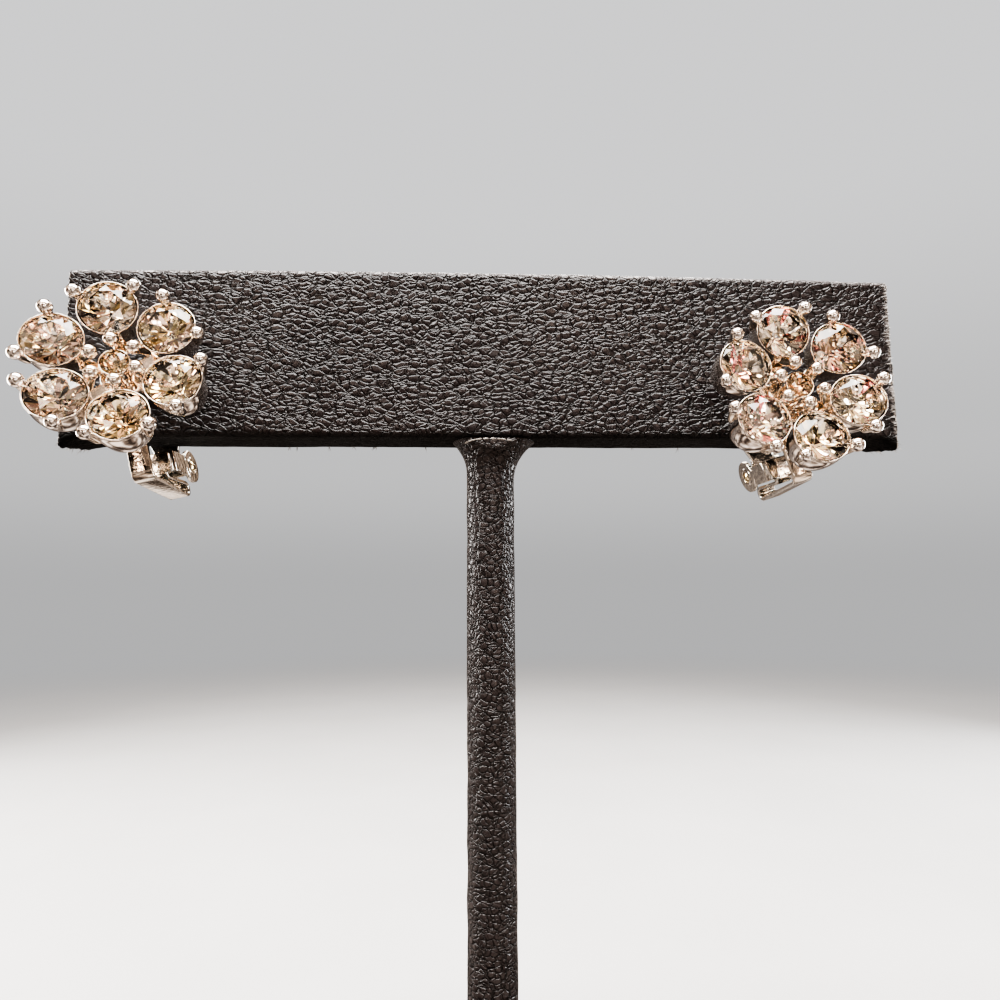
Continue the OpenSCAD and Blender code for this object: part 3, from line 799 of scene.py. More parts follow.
def flower_metal(side, joint_depth):
    """All the metal of one flower, in the frame of its middle stone. Its warm numbers are painted
    reflections of the stones' light.
    """
    middle, heart_d = FLOWERS[side]["middle"]
    base = to_mm(middle)
    behind = Matrix.Translation((0, 0, STAR_TOP - STAR_T / 2))
    heart_seat_r = heart_d / MM / 2 + STONE_GAP
    tray = Tray()
    for place, d in FLOWERS[side]["petals"]:
        local = base.inverted() @ to_mm(place)
        ring_r = local.translation.xy.length
        seat_r = d / MM / 2 + STONE_GAP
        lip_r = seat_r + CUP_WALL
        cup = turned(cup_outline(seat_r, CUP_DEPTH, CUP_FOOT_R), 72)
        tray.lay(pressed(cup, 7.3 * len(tray.points)), local, warm=lit_by_stones)
        inner_out = ring_r - (heart_seat_r + CUP_WALL) - INNER_GAP - BALL_R - lip_r
        for turn, out, painted_light_and_wear in ((PRONG_TURN, OUTER_BALL_OUT, 0.12),
                                  (-PRONG_TURN, OUTER_BALL_OUT, 0.12), (180, inner_out, 0.5)):
            wire, length = prong_frame(turn, out, lip_r)
            tray.lay(prong(length), local @ wire, warm=towards_foot(painted_light_and_wear, length))
        heading = Matrix.Rotation(math.atan2(-local.translation.x, local.translation.y), 4, "Z")
        tray.lay(arm(ring_r + ARM_PAST_CUP), heading @ behind, warm=0.45)
    heart_cup = cup_outline(heart_seat_r, STAR_T / 2 - STAR_TOP, HEART_FOOT_R)
    tray.lay(turned(heart_cup, 48), warm=0.85)
    hub, post = hub_and_post(joint_depth)
    tray.lay(turned(hub, 48), behind, warm=0.45)
    tray.lay(turned(post, 32), warm=0.2)
    print(side, "ring radius:", round(ring_r, 2), "mm")
    return tray.piece(side + "_flower_metal", (SILVER,), middle,
                      stands_for=(side + "_setting",))


print("star:", STAR_T, "mm thick, with", PETALS, "arms")

# %% [markdown]
# ## The clips
#
# A clip is one strip of spring metal: it comes down behind the flower, bends back under the bar, turns
# round in a narrow loop and runs forward into a small box, whose two ears hold the lever. The strip
# could be bent from a straight one with a modifier, but drawn along its side view its bends keep their
# thickness. The box is bent sheet, so its front is drawn round two corners and its sides are cut as
# plates with their slits and pin holes.

# %% Sizes of the clip, about its hinge pin
bar_low, bar_high = (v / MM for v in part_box("stand_bar"))
BAND_W, BAND_T, BAR_GAP = 2.4, 0.5, 0.3
FRONT_BEND_R, LOOP_R, SLOPE = 1.0, 0.75, 5
BOX_W, BOX_BACK, BOX_RISE, BOX_SINK, BOX_CORNER_R, BOX_BEND_R = 4.6, 3.5, 1.1, 1.45, 0.7, 0.5
EAR_R, SLIT, NECK_H, PIN_R, PIN_GAP, PIN_OUT = 2.1, 0.16, 1.2, 0.7, 0.05, 0.25
PIN_Y = CLIPS["left"].translation.y / MM
ARM_Y = bar_low.y - BAR_GAP - BAND_T / 2
ARM_V = ARM_Y - PIN_Y
BOX_V = bar_low.y + BOX_BACK - PIN_Y
FRONT_V = BOX_V + BAND_T / 2
print("pin:", round(PIN_Y - bar_high.y, 2), "mm behind the bar")


# %% The spring band
def band_path(top):
    """The middle of the band in side view, from the top of its front arm to the box."""
    slope = math.radians(SLOPE)
    leaf = -BOX_SINK - BOX_BEND_R
    loop = (0.0, leaf - LOOP_R)
    flat = FRONT_BEND_R * math.sin(slope) - LOOP_R * math.sin(slope) - ARM_V - FRONT_BEND_R
    run = flat / math.cos(slope)
    bend_up = loop[1] + (FRONT_BEND_R - LOOP_R) * math.cos(slope) + run * math.sin(slope)
    path = [(ARM_V, top), (ARM_V, (top + bend_up) / 2)]
    path += arc((ARM_V + FRONT_BEND_R, bend_up), FRONT_BEND_R, 180, 270 - SLOPE, 10)
    path += arc(loop, LOOP_R, -90 - SLOPE, 90, 16)
    path += arc((FRONT_V + BOX_BEND_R, leaf + BOX_BEND_R), BOX_BEND_R, 270, 180, 8)
    return path + [(FRONT_V, -BOX_SINK + 0.3)]


print("band path:", len(band_path(5)), "points")


# %% The hinge box
def side_outline():
    """A side of the box in side view, with its round ear, the ear's neck and the slits beside it."""
    outer, h = EAR_R + SLIT, NECK_H / 2

    def on(radius, z):
        return math.degrees(math.atan2(z, -math.sqrt(radius ** 2 - z ** 2))) % 360

    outline = [(BOX_V + 0.3, -BOX_SINK)]
    outline += arc((0, 0), outer, on(outer, -BOX_SINK), on(outer, -h), 6)
    outline += arc((0, 0), EAR_R, on(EAR_R, -h), on(EAR_R, h) + 360, 40)
    outline += arc((0, 0), outer, on(outer, h), on(outer, BOX_RISE), 4)
    return outline + [(BOX_V + 0.3, BOX_RISE)]


# A plate is drawn flat: its X becomes the clip's Y and its Y becomes the clip's Z.
ON_EDGE = Matrix(((0, 0, 1, 0), (1, 0, 0, 0), (0, 1, 0, 0), (0, 0, 0, 1)))
# The front is drawn along (y, x), so the first number of its section has to run along Z.
LYING = Matrix(((0, 0, 1, 0), (0, 1, 0, 0), (1, 0, 0, (BOX_RISE - BOX_SINK) / 2), (0, 0, 0, 1)))
PEENED_RING = [(0.78, -0.1), (0.8, 0.08), (0.95, 0.13), (1.12, 0.09), (1.2, 0.0), (1.2, -0.1)]


def lay_box(tray):
    """The box on its tray: two pierced sides, each with a peened ring, and the bent front."""
    hole = arc((0, 0), PIN_R + PIN_GAP, 0, 360, 28)[:-1]
    wall = cut_plate([side_outline(), hole], BAND_T, 0.1)
    half, r = (BOX_W - BAND_T) / 2, BOX_CORNER_R - BAND_T / 2
    # The warm numbers of the box are painted reflections of the stones' light.
    for sign in (-1, 1):
        tray.lay(wall, Matrix.Translation((sign * (BOX_W - BAND_T) / 2, 0, 0)) @ ON_EDGE, warm=0.4)
        outward = Matrix.Rotation(math.radians(90 * sign), 4, "Y")
        outside = Matrix.Translation((sign * BOX_W / 2, 0, 0))
        tray.lay(turned(PEENED_RING, 40), outside @ outward, warm=0.4)
    bent = [(FRONT_V + 1.4, -half)] + arc((FRONT_V + r, -half + r), r, 270, 180, 6)
    bent += arc((FRONT_V + r, half - r), r, 180, 90, 6) + [(FRONT_V + 1.4, half)]
    sheet = rounded_section(BOX_SINK + BOX_RISE, BAND_T, 0.1)
    tray.lay(drawn(bent, sheet), LYING, warm=0.15)


def clip_metal(side, top):
    """The band and the box of one clip, in the frame of its pin."""
    tray = Tray()
    band = drawn(band_path(top), rounded_section(BAND_W, BAND_T, 0.11))
    # The upper front arm gets a strong painted warm reflection, the rest of the band a weak one.
    tray.lay(band, warm=lambda p: 0.85 if p[1] < ARM_V + 0.5 and p[2] > -2.6 else 0.25)
    lay_box(tray)
    return tray.piece(side + "_clip_metal", (CLIP_PLATE,), CLIPS[side])


for side in SIDES:
    middle = to_mm(FLOWERS[side]["middle"][0])
    ahead = middle.col[2].xyz
    depth = (ARM_Y - middle.translation.y) / -ahead.y
    solder = middle.translation - ahead * depth
    flower_metal(side, depth)
    clip_metal(side, (to_mm(CLIPS[side]).inverted() @ solder).z + 2.0)
print("solder joint of the last clip:", [round(v, 1) for v in solder])

# %% [markdown]
# ## The levers
#
# Behind the bar each lever ends in a pierced paddle that presses on the ear. It is cut from sheet in a
# drop shape and bent back at its top, and it turns on a pin whose brass ends show in the ears. A bend
# modifier would need a finished object, so the cut plate's corners are moved instead, which keeps its
# softened edges.

# %% The paddle
LEVER_T, HUB_D, HUB_GAP, LEVER_NECK_R = 0.6, 2.2, 0.12, 1.5
PADDLE_RISE, PADDLE_R, PADDLE_RIM, CURL_R = 9.4, 3.5, 1.3, 6.0
CURL_FROM = PADDLE_RISE - PADDLE_R / 2
HUB_W = BOX_W - 2 * BAND_T - 2 * HUB_GAP


def drop_outline(r1, v1, r2, v2):
    """Two round ends with the straight sides that touch both."""
    a = -math.degrees(math.asin((r2 - r1) / (v2 - v1)))
    return arc((0, v2), r2, a, 180 - a, 40) + arc((0, v1), r1, 180 - a, 360 + a, 12)


def paddle():
    """The lever's plate, standing upright with its back to +Y, curled at its top."""
    shape = drop_outline(LEVER_NECK_R, HUB_D, PADDLE_R, PADDLE_RISE)
    tongue = [(LEVER_NECK_R, HUB_D), (LEVER_NECK_R, 1.3), (HUB_W / 2, 1.05), (HUB_W / 2, 0)]
    outline = [p for p in shape if p[1] > HUB_D + 0.05]
    outline += [(-x, z) for x, z in tongue] + tongue[::-1]
    opening = drop_outline(LEVER_NECK_R - PADDLE_RIM / 2, HUB_D + 2 * PADDLE_RIM,
                           PADDLE_R - PADDLE_RIM, PADDLE_RISE)
    points, faces = cut_plate([outline, opening], LEVER_T, 0.14)
    mid_y = bar_high.y - PIN_Y + BAR_GAP + LEVER_T / 2
    mid_r = CURL_R + LEVER_T / 2
    bent = []
    for x, z, t in points:
        up = max(0.0, z - CURL_FROM)
        back = mid_r - math.sqrt(mid_r ** 2 - up ** 2)
        bent.append((x, mid_y + back - t, z))
    return bent, faces


print("paddle corners:", len(paddle()[0]))

# %% The levers
DOME_R, HUB_BEVEL = 1.05, 0.12


def pin_outline():
    """The pin from one end to the other, with domed ends outside the ears."""
    end = BOX_W / 2 + PIN_OUT
    straight = end - DOME_R + math.sqrt(DOME_R ** 2 - PIN_R ** 2)
    rise = math.degrees(math.acos(PIN_R / DOME_R))
    dome = arc((0, end - DOME_R), DOME_R, rise, 90, 8)[:-1] + [(0, end)]
    half = [(PIN_R, straight)] + dome
    return [(x, -z) for x, z in reversed(half)] + half


def lever(side):
    """A lever with its hub and its pin."""
    tray = Tray()
    # The warm numbers of the lever and its pin are painted reflections of the stones' light.
    tray.lay(paddle(), warm=0.1)
    across = Matrix.Rotation(math.radians(90), 4, "Y")
    r, h, b = HUB_D / 2, HUB_W / 2, HUB_BEVEL
    hub = [(0, -h), (r - b, -h), (r, b - h), (r, h - b), (r - b, h), (0, h)]
    tray.lay(turned(hub, 40), across, warm=0.2)
    tray.lay(turned(pin_outline(), 32), across, finish=1, warm=0.3)
    return tray.piece(side + "_lever_metal", (CLIP_PLATE, BRASS), CLIPS[side],
                      body=side + "_lever", stands_for=(side + "_lever",))


for side in SIDES:
    made = lever(side)
print("lever corners:", len(made.data.vertices))

# %% [markdown]
# ## Leatherette
#
# The stand is wrapped in black leatherette. Its grain is a crowd of small pebbles with creases between
# them, about one to the millimetre, and longer wrinkles run across it. A scanned skin would repeat and
# would need a file. Here cell noise gives the pebbles, a warp of the places breaks up their even
# spacing, and the light does the rest, since nearly all that shows of a black skin is its shine. One
# group serves all the stand's pieces, with a stretch for each.

# %% The grain group
def pebbles(tree, places):
    """Domes with creases round them. Wide cells tilt whole groups, as the folds of a real skin do."""
    cell = put(tree, "TexVoronoi", {"Vector": places, "Scale": 1.0}).outputs["Distance"]
    near, wide = (put(tree, "TexVoronoi", {"Vector": places, "Scale": scale},
                      feature="DISTANCE_TO_EDGE").outputs["Distance"] for scale in (1.0, 0.42))
    dome = calc(tree, "MULTIPLY_ADD", spread(tree, cell, 0.0, 0.75, 1.0, 0.0), 0.34, 0.5)
    small = calc(tree, "MULTIPLY", dome, spread(tree, near, 0.0, 0.15, smooth=True))
    return calc(tree, "MULTIPLY_ADD", spread(tree, wide, 0.0, 0.05, smooth=True), 0.35, small)


def grain_group():
    """The height and the crests of a pebbled skin. Away from the crests, the finishes paint shade into the
    creases.
    """
    tree, given, result = new_group(
        "pebbled grain", [("Vector", "Vector"), ("Size", "Float", 0.8), ("Wrinkles", "Float", 0.4)],
        [("Height", "Float"), ("Crests", "Float"), ("Patches", "Float")])
    places = shift(tree, "SCALE", given["Vector"], Scale=calc(tree, "DIVIDE", 1.0, given["Size"]))
    swirl = put(tree, "TexNoise", {"Vector": places, "Scale": 0.8, "Detail": 1.5}).outputs["Color"]
    offset = shift(tree, "SUBTRACT", swirl, (0.5, 0.5, 0.5))
    pebble = pebbles(tree, shift(tree, "MULTIPLY_ADD", offset, (0.9, 0.9, 0.9), places))
    away = calc(tree, "SUBTRACT", clouds(tree, places, 0.33, 2, Distortion=1.2), 0.5)
    line = spread(tree, calc(tree, "ABSOLUTE", away), 0.0, 0.035, smooth=True)
    wrinkled = calc(tree, "MULTIPLY_ADD", line, given["Wrinkles"], pebble)
    fill(tree, result, {
        "Height": calc(tree, "MULTIPLY_ADD", clouds(tree, places, 5, 3), 0.07, wrinkled),
        "Crests": spread(tree, pebble, 0.1, 1.0), "Patches": clouds(tree, places, 0.06, 3)})
    return tree


GRAIN = grain_group()
print("group:", GRAIN.name)

# %% The wrap
# The first black is painted shade in the creases of the grain, the second painted shade under the bar.
CREASE_SHADE_BLACK, SHADE_BLACK = (0.003, 0.0028, 0.003), (0.002, 0.002, 0.002)
# The pale grey is a painted highlight along the bar's top edge and pale rubbing at its right end.
FADED_BROWN, HIGHLIGHT_AND_WEAR_GREY = (0.034, 0.024, 0.023), (0.55, 0.53, 0.53)
SKIN_IOR = 1.4


def leatherette(name, size, stretch, wrinkles, depth, tone):
    """Black leatherette with pebbles of a size and a stretch along X, Y and Z."""
    material, tree, shader = empty_material(name)
    places = shift(tree, "MULTIPLY", object_mm(tree), stretch)
    given = {"Vector": places, "Size": size, "Wrinkles": wrinkles}
    grain = put(tree, "Group", given, node_tree=GRAIN).outputs
    faded = spread(tree, grain["Patches"], 0.35, 0.7, 0.0, 0.35)
    # The colour runs from painted crease shade to the skin's tone on the crests.
    colour = blend(tree, faded, blend(tree, grain["Crests"], CREASE_SHADE_BLACK, tone), FADED_BROWN)
    # The mesh stores a painted highlight and pale rubbing above nought, and painted shade below it.
    place = stored(tree, "painted_light_and_wear")
    broken = calc(tree, "MULTIPLY_ADD", grain["Crests"], 0.9, 0.15)
    highlight_and_wear = calc(tree, "MULTIPLY", place, broken, clamp=True)
    shade = calc(tree, "MULTIPLY", place, -1.0, clamp=True)
    rough = spread(tree, grain["Crests"], 0.0, 0.25, 0.7, 0.3)
    fill(tree, shader, {
        "Base Color": blend(tree, shade, blend(tree, highlight_and_wear, colour, HIGHLIGHT_AND_WEAR_GREY), SHADE_BLACK),
        "Roughness": blend(tree, shade, rough, 0.95, kind="FLOAT"),
        "Normal": raised(tree, grain["Height"], depth), "IOR": SKIN_IOR})
    return material


BAR_SKIN = leatherette("bar leatherette", 0.86, (0.78, 1.0, 1.12), 0.25, 0.22, (0.021, 0.015, 0.016))
# The post's tone is twice the bar's: partly a browner skin, partly a painted lift for the light that it
# gets less of.
POST_SKIN = leatherette("post leatherette", 0.76, (0.9, 0.9, 1.1), 0.30, 0.22, (0.044, 0.036, 0.036))
FOOT_SKIN = leatherette("foot leatherette", 0.86, (1.0, 1.0, 1.0), 0.30, 0.19, (0.022, 0.016, 0.016))
print("skins:", BAR_SKIN.name, "and", POST_SKIN.name, "and", FOOT_SKIN.name)


# %% Raw edge
def raw_edge(name, darkest):
    """The cut edge of the leatherette, where its pale woven backing shows."""
    material, tree, shader = empty_material(name)
    weave = clouds(tree, object_mm(tree), 3.2, 4)
    colour = ramp(tree, weave, [(0.40, darkest), (0.56, (0.45, 0.43, 0.41)), (0.7, (0.80, 0.78, 0.75))])
    fill(tree, shader, {"Base Color": colour, "Normal": raised(tree, weave, 0.12), "Roughness": 0.85})
    return material


RAW = raw_edge("raw edge", (0.03, 0.028, 0.028))
THREAD = raw_edge("loose thread", (0.36, 0.34, 0.32))
print("raw edges:", RAW.name, "and", THREAD.name)

# %% [markdown]
# ## The bar
#
# The bar is a board in a tight wrap. The wrap's skin goes round the long edges and is cut off flush at
# the ends, where a separate piece covers the board. A box with a displaced surface would be quicker, but
# its lumps would tear at the corners. So the skin is a grid of quads round the board's outline, lifted
# here and there by soft lumps, because a wrap is never quite flat. The right cut end is drawn in pale
# backing, and both cut ends get some loose threads.

# %% The bar's outline
BAR_EDGE_R, LOW_EDGE_R, SKIN_T, STEP = 0.8, 0.7, 0.55, 0.4
MID_Y, MID_Z = (bar_low.y + bar_high.y) / 2, (bar_low.z + bar_high.z) / 2
HALF_BAR = (bar_high.y - bar_low.y) / 2
BAR_ENDS = ((bar_low.x, -1), (bar_high.x, 1))


def bar_outline():
    """Points round the bar in side view, (y, z), about half a millimetre apart."""
    w, h = HALF_BAR, (bar_high.z - bar_low.z) / 2
    edges = ((1, 1, BAR_EDGE_R, 0), (-1, 1, BAR_EDGE_R, 90), (-1, -1, LOW_EDGE_R, 180),
             (1, -1, BAR_EDGE_R, 270))
    corner = [p for sy, sz, r, a in edges for p in arc((sy * (w - r), sz * (h - r)), r, a, a + 90, 6)]
    dense = []
    for (y0, z0), (y1, z1) in zip(corner, corner[1:] + corner[:1]):
        parts = max(1, round(math.hypot(y1 - y0, z1 - z0) / STEP))
        dense += [(y0 + (y1 - y0) * i / parts, z0 + (z1 - z0) * i / parts) for i in range(parts)]
    return [(MID_Y + y, MID_Z + z) for y, z in dense]


OUTLINE = bar_outline()
print("bar outline:", len(OUTLINE), "points")

# %% Lumps, curl, pale rubbing and painted highlight and shade of the wrap
SWELL, CURL, CURL_H = 0.42, 3.2, 2.5
RIM_HIGHLIGHT, UNDER_SHADE, UNDER_H = 0.55, 0.95, 0.5


def lumps(point, size, height):
    """A soft lump of the wrap at a place, always inwards."""
    return height * (noise.noise(Vector(point) / size) - 1) / 2


def swell(x):
    """How far the wrap stands over the board at the top, which is nothing at the ends."""
    return SWELL * max(0.0, 1 - (x / bar_high.x) ** 2)


def cut_curl(x, y, z):
    """How far the skin hangs below the board close to its cut ends, most at its front corner."""
    near = max(0.0, abs(x) - bar_high.x + CURL) / CURL
    low = max(0.0, 1 - max(0.0, z - bar_low.z) / CURL_H)
    front = (bar_high.y - y) / (bar_high.y - bar_low.y)
    return near ** 2 * low * (0.35 + 1.15 * front) * (1 + 0.3 * noise.noise(Vector((y, z, x)) * 1.2))


def edge_highlight_wear_and_shade(point):
    """A painted highlight along the top front edge, pale rubbing at the right end, and below zero painted
    shade underneath.
    """
    x, y, z = point
    # A painted highlight along the top front edge.
    rim = math.hypot(y - bar_low.y - 0.2, bar_high.z + swell(x) - z - 0.25)
    top = max(0.0, 1 - rim / RIM_HIGHLIGHT) * (0.62 + 0.5 * noise.noise(Vector((x * 0.3, 2, 9))))
    # Pale rubbing at the right end.
    tooth = max(0.0, noise.noise(Vector((y * 2, z * 2.3, 5)))) * 1.6
    end = max(0.0, 1 - (bar_high.x - x) / (0.25 + 0.55 * tooth)) * (0.35 + tooth)
    # Painted shade underneath.
    under = max(0.0, 1 - max(0.0, z - bar_low.z) / UNDER_H) ** 0.7 * UNDER_SHADE
    return min(1.0, max(top, end)) * (1 - under) - under


print("swell at the middle:", swell(0), "mm")

# %% The bar's wrap
# How far each ring of the cut edge lies inside the outline and how far it stands out of the end.
END_RINGS = ((0.0, 0.0), (0.1, 0.16), (0.3, 0.22), (SKIN_T, 0.02), (SKIN_T + 0.05, -0.2))


def outwards(y, z):
    """The way out of the bar at a place of its outline."""
    return (Vector((y, z)) - Vector((MID_Y, MID_Z))).normalized()


def skin_corner(x, y, z, inset=0.0):
    """Where the skin lies at a place of the outline: lumped, lifted, curled and set in."""
    away = outwards(y, z)
    lift = lumps((x, y, z), 5.0, 0.12) + lumps((x, y, z), 1.3, 0.05) - inset
    up = swell(x) * (z - bar_low.z) / (bar_high.z - bar_low.z) - cut_curl(x, y, z)
    return y + away.x * lift, z + away.y * lift + up


def cut_ring(end, sign, inset, depth):
    """One ring over a cut end, with its fraying."""
    corners = []
    for y, z in OUTLINE:
        fray = 0.07 * noise.noise(Vector((y * 3, z * 3, end)))
        fray += 0.16 * noise.noise(Vector((y, z * 1.4, end)))
        corners.append((end + sign * (depth + fray), *skin_corner(end, y, z, inset)))
    return corners


def bar_wrap():
    """The skin round the bar, with its cut ends and the end covers."""
    count, n = round((bar_high.x - bar_low.x) / STEP), len(OUTLINE)
    points = []
    for i in range(count + 1):
        x = bar_low.x + (bar_high.x - bar_low.x) * i / count
        points += [(x, *skin_corner(x, y, z)) for y, z in OUTLINE]
    tray = Tray()
    tray.lay((points, joined(count + 1, n, inwards=True)), warm=edge_highlight_wear_and_shade)
    for end, sign in BAR_ENDS:
        rings = [cut_ring(end, sign, inset, depth) for inset, depth in END_RINGS]
        edge, cover = joined(len(rings), n, inwards=True), [list(range(n))]
        if sign > 0:
            edge, cover = ([face[::-1] for face in faces] for faces in (edge, cover))
        tray.lay((sum(rings, []), edge), finish=int(sign > 0))
        tray.lay((rings[-1], cover))
    return tray.piece("bar_wrap", (BAR_SKIN, RAW), stands_for=("stand_bar",))


wrap = bar_wrap()
print("bar wrap faces:", len(wrap.data.polygons))

# %% [markdown]
# Where the skin was cut, short threads of its backing stick out. Hair particles could do this, but they
# are lost in an exported model, so each thread is a thin spike with three sides. Flecks of backing lie
# along the front of the right end, and a little fluff hangs from the seam underneath.

# %% Loose threads at the cut edges
THREAD_R = 0.045
END_THREADS, FLECKS, TUFTS = 300, 90, 9
FLECK_FEET = ((0, 0, 0.07), (0, -0.08, -0.05), (0.05, 0.08, 0))
FLUFF_FEET = ((0.05, 0, 0), (-0.05, -0.05, 0), (0, 0.05, 0))


def thread(root, feet, tip):
    """A thin spike that stands on three feet round its root."""
    return [root + Vector(foot) for foot in feet] + [tip], [[0, 1, 3], [1, 2, 3], [2, 0, 3]]


def lay_end_threads(tray, rng, end, sign):
    """Threads round one cut end, longer along its lower edge."""
    for k in range(END_THREADS):
        y, z = rng.choice(OUTLINE)
        long = z < bar_low.z + 1 and k % 2
        out = outwards(y, z)
        spot = Vector((y, z)) - out * rng.uniform(0.15, 0.45)
        root = Vector((end, spot.x, spot.y - cut_curl(end, y, z)))
        lean = Vector((sign * rng.uniform(0.2, 1.0), out.x * 0.5 + rng.uniform(-0.5, 0.5),
                       out.y * 0.5 + rng.uniform(-0.5, 0.5)))
        tip = root + lean.normalized() * rng.uniform(0.15, 1.2 if long else 0.45)
        side = lean.orthogonal().normalized() * THREAD_R
        other = lean.cross(side).normalized() * THREAD_R
        tray.lay(thread(root, (side, other - side, -side - other), tip))


def loose_threads():
    """The threads of both ends, the flecks and the fluff."""
    rng = random.Random(7)
    tray = Tray()
    for end, sign in BAR_ENDS:
        lay_end_threads(tray, rng, end, sign)
    for _ in range(FLECKS):
        z = rng.uniform(bar_low.z + 1.5, bar_high.z - 0.6)
        root = Vector((bar_high.x + rng.uniform(-0.1, 0.2), bar_low.y + rng.uniform(-0.1, 0.15), z))
        tip = Vector((rng.uniform(-0.9, -0.25), rng.uniform(-0.12, 0.0), rng.uniform(-0.3, 0.3)))
        tray.lay(thread(root, FLECK_FEET, root + tip))
    for _ in range(TUFTS):
        x = rng.uniform(bar_low.x + 18, bar_high.x - 16)
        root = Vector((x, bar_high.y - 0.9, bar_low.z + 0.1))
        for _ in range(rng.randint(2, 4)):
            tip = Vector((rng.uniform(-0.5, 0.5), rng.uniform(-0.2, 0.2), rng.uniform(-0.85, -0.3)))
            tray.lay(thread(root, FLUFF_FEET, root + tip))
    return tray.piece("bar_threads", (THREAD,), crease=0)


loose = loose_threads()
print("threads:", len(loose.data.polygons) // 3)

# %% [markdown]
# ## The post
#
# The post is wrapped too, and its skin spreads into a small flare that is glued under the bar. The
# flare's cut edge shows as a pale curved line. A cylinder and a cone would leave a hard joint under the
# flare, so the post is turned from one outline and then given the lumps of its wrap and the long seam
# that such a wrap has at the back.

# %% The post's wrap
STEM_R, FLARE_OUT, FLARE_H = 3.0, 1.7, 3.9
FLARE_ARC_R = (FLARE_H ** 2 + FLARE_OUT ** 2) / (2 * FLARE_OUT)
SEAM_H, SEAM_W, SLACK, SLACK_H = 0.14, 0.35, 0.9, 6
foot_low, foot_high = (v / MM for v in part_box("stand_base"))


def post_outline(low, top):
    """The post's outline, from its foot fillet to the rim of the flare."""
    sweep = math.degrees(math.asin(FLARE_H / FLARE_ARC_R))
    count = round((top - FLARE_H - low) / STEP)
    start, run = low + 0.6, top - FLARE_H - low - 0.6
    outline = [(STEM_R + 0.35, low), (STEM_R + 0.12, low + 0.3)]
    outline += [(STEM_R, start + run * i / count) for i in range(count)]
    return outline + arc((STEM_R + FLARE_ARC_R, top - FLARE_H), FLARE_ARC_R, 180, 180 - sweep, 14)


def post_wrap():
    """The post's skin, from the foot to the flare under the bar."""
    top = bar_low.z
    points, faces = turned(post_outline(foot_high.z, top), 56)
    shaped = []
    for x, y, z in points:
        r, a = math.hypot(x, y), math.atan2(x, -y)
        off_seam = (abs(a) - math.pi) * STEM_R / SEAM_W
        seam = SEAM_H * math.exp(-off_seam ** 2) if z < top - 1 else 0
        slack = SLACK * max(0.0, math.sin(a)) * max(0.0, (z - top + SLACK_H) / SLACK_H) ** 2
        r += lumps((x, y, z), 3.5, 0.14) + lumps((x, y, z), 1.2, 0.05) + seam + slack
        y_now = max(0.05 - HALF_BAR, min(HALF_BAR - 0.05, -r * math.cos(a)))
        shaped.append((r * math.sin(a), y_now, z))
    tray = Tray()
    tray.lay((shaped, faces))
    return tray.piece("post_wrap", (POST_SKIN,), stands_for=("stand_post",))


post = post_wrap()
print("post wrap faces:", len(post.data.polygons))

# %% The cut edge of the flare
LINE_FROM, LINE_SWEEP, LINE_STEPS, LINE_SIDES = -48, 120, 90, 8


def flare_edge():
    """A pale line that sinks away round the sides of the flare."""
    points = []
    for k in range(LINE_STEPS + 1):
        a = math.radians(LINE_FROM + LINE_SWEEP * k / LINE_STEPS)
        sunk = 0.1 + 0.8 * math.sin(a) ** 2
        r = STEM_R + FLARE_ARC_R - math.sqrt(FLARE_ARC_R ** 2 - (FLARE_H - sunk) ** 2)
        uneven = 0.1 + 0.13 * noise.noise(Vector((a * 11, 0, 0)))
        thick = max(0.02, uneven) * math.cos(a) ** 0.5
        out = Vector((math.sin(a), -math.cos(a), 0))
        mid = Vector((r * math.sin(a), max(0.1 - HALF_BAR, -r * math.cos(a)), bar_low.z - sunk))
        points += [mid + out * thick * math.cos(b) + Vector((0, 0, thick * math.sin(b)))
                   for b in (2 * math.pi * i / LINE_SIDES for i in range(LINE_SIDES))]
    faces = joined(LINE_STEPS + 1, LINE_SIDES, inwards=True) + ends(len(points), LINE_SIDES)
    tray = Tray()
    tray.lay((points, faces))
    return tray.piece("flare_edge", (THREAD,))


print("flare edge faces:", len(flare_edge().data.polygons))

# %% [markdown]
# ## The foot
#
# The photograph ends above the foot, so it is a plain wrapped slab with rounded corners, as such stands
# have. A bevelled box would have its shape but could not carry the soft lumps of a wrap, so its skin is
# a grid too, and its edges are rolled rather than sharp.

# %% The foot's wrap
FOOT_R, FOOT_ROLL, SIDE_ROWS, TOP_ROWS, ROLL_ROWS = 5.0, 1.0, 16, 30, 6
TREAD = 0.3


def foot_levels(top, half_depth):
    """Insets and heights of the foot's rings, up its side, over its edge and in to the middle."""
    rise, reach = top - FOOT_ROLL - TREAD, half_depth - FOOT_ROLL - 0.5
    levels = [(0.25, 0.0), (0.0, TREAD)]
    levels += [(0.0, TREAD + rise * i / SIDE_ROWS) for i in range(1, SIDE_ROWS)]
    for i in range(ROLL_ROWS + 1):
        a = math.radians(90 * i / ROLL_ROWS)
        levels.append((FOOT_ROLL * (1 - math.cos(a)), top - FOOT_ROLL + FOOT_ROLL * math.sin(a)))
    return levels + [(FOOT_ROLL + reach * i / TOP_ROWS, top) for i in range(1, TOP_ROWS + 1)]


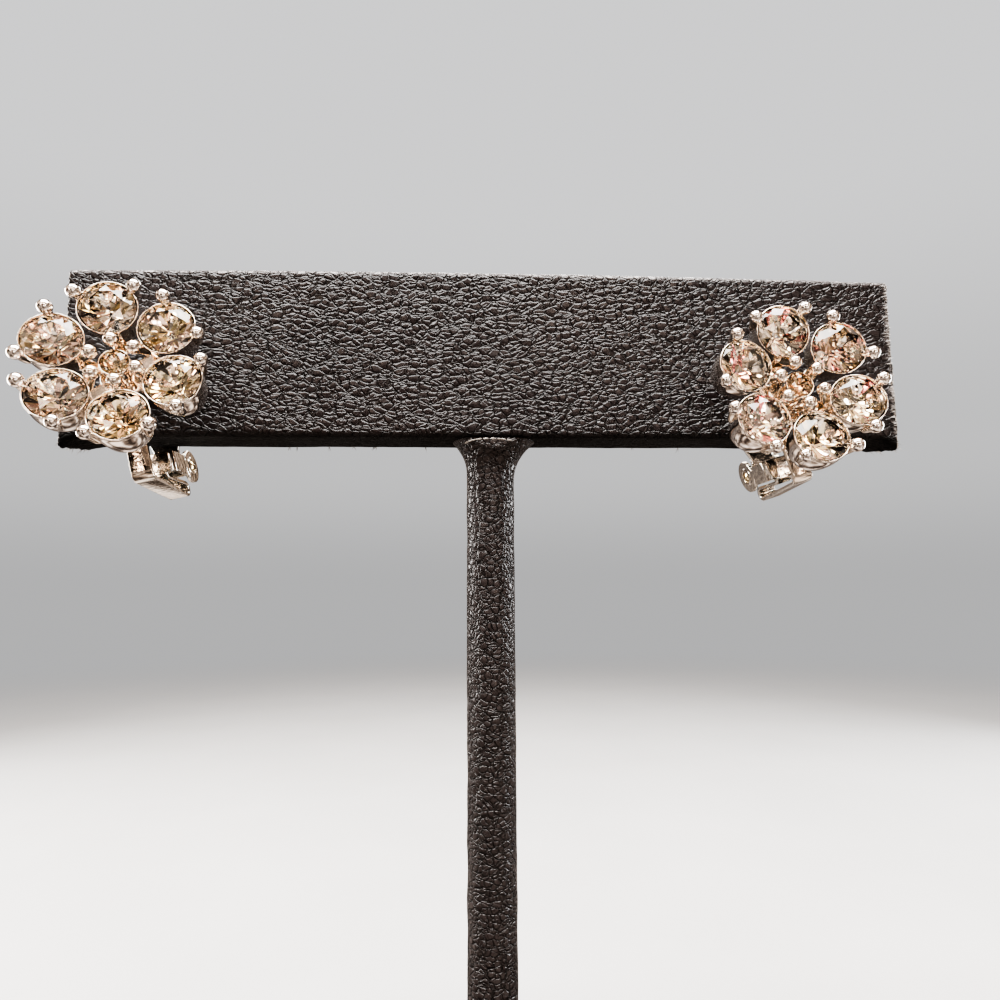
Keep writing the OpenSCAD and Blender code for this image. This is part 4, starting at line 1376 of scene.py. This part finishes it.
def foot_wrap():
    """A slab whose top edge is rolled, built as rings that shrink towards the middle."""
    w, d, top = foot_high.x - foot_low.x, foot_high.y - foot_low.y, foot_high.z
    points, rings = [], 0
    for inset, z in foot_levels(top, d / 2):
        corner_r = max(0.3, FOOT_R - inset)
        circle = rounded_section(w - 2 * inset, max(0.7, d - 2 * inset), corner_r, 8)
        rings += 1
        for x, y in circle:
            sunk = lumps((x, y, z), 6.0, 0.12)
            inwards, down = 1 + sunk / 40, sunk if z > top - 0.01 else 0
            points.append((x * inwards, y * inwards, z + down))
    tray = Tray()
    tray.lay((points, joined(rings, len(circle)) + ends(len(points), len(circle))))
    return tray.piece("foot_wrap", (FOOT_SKIN,), stands_for=("stand_base",))


foot = foot_wrap()
print("foot wrap faces:", len(foot.data.polygons))

# %% [markdown]
# ## The floor
#
# A plain pale sheet reaches to the horizon, and its paper grain is so weak that only the soft shadow of
# the stand shows on it. A backdrop with a bend would do as well, but its bend shows from other sides, so
# the sheet fades into the sweep's own grey instead. Metal and glass see a darker, patchy floor, as they
# would on a cluttered table.

# %% The floor
PAPER_TONES = [(0.3, (0.52, 0.518, 0.515)), (0.7, (0.55, 0.548, 0.545))]
TABLE_CLUTTER = [(0.42, (0.02, 0.016, 0.014)), (0.5, (0.09, 0.075, 0.065)), (0.58, (0.40, 0.36, 0.33))]
FADE_FROM, FADE_TO = 110.0, 800.0
BLACK = (0, 0, 0)


def pale_floor():
    """The sheet under the stand, which is stage and no part of the model."""
    material, tree, shader = empty_material("pale floor")
    places = object_mm(tree)
    tone = ramp(tree, clouds(tree, places, 0.02, 4), PAPER_TONES)
    away = spread(tree, shift(tree, "LENGTH", places), FADE_FROM, FADE_TO, smooth=True)
    patchy = ramp(tree, clouds(tree, places, 0.011, 1.5), TABLE_CLUTTER)
    seen = put(tree, "LightPath").outputs["Is Camera Ray"]
    lit = spread(tree, seen, 0.0, 1.0, 0.25, 1.0)
    fill(tree, shader, {
        "Base Color": blend(tree, seen, patchy, blend(tree, away, tone, BLACK)),
        "Emission Color": shift(tree, "SCALE", blend(tree, away, BLACK, HORIZON), Scale=lit),
        "Emission Strength": 1.0, "Roughness": 0.9, "Specular IOR Level": 0.0})
    points, faces = turned([(0, -0.02), (400, -0.02), (9000, -0.02)], 64)
    mesh = bpy.data.meshes.new("floor")
    mesh.from_pydata([Vector(p) * MM for p in points], [], faces)
    mesh.materials.append(material)
    floor = bpy.data.objects.new("floor", mesh)
    bpy.context.scene.collection.objects.link(floor)
    return floor


print("floor:", pale_floor().name)
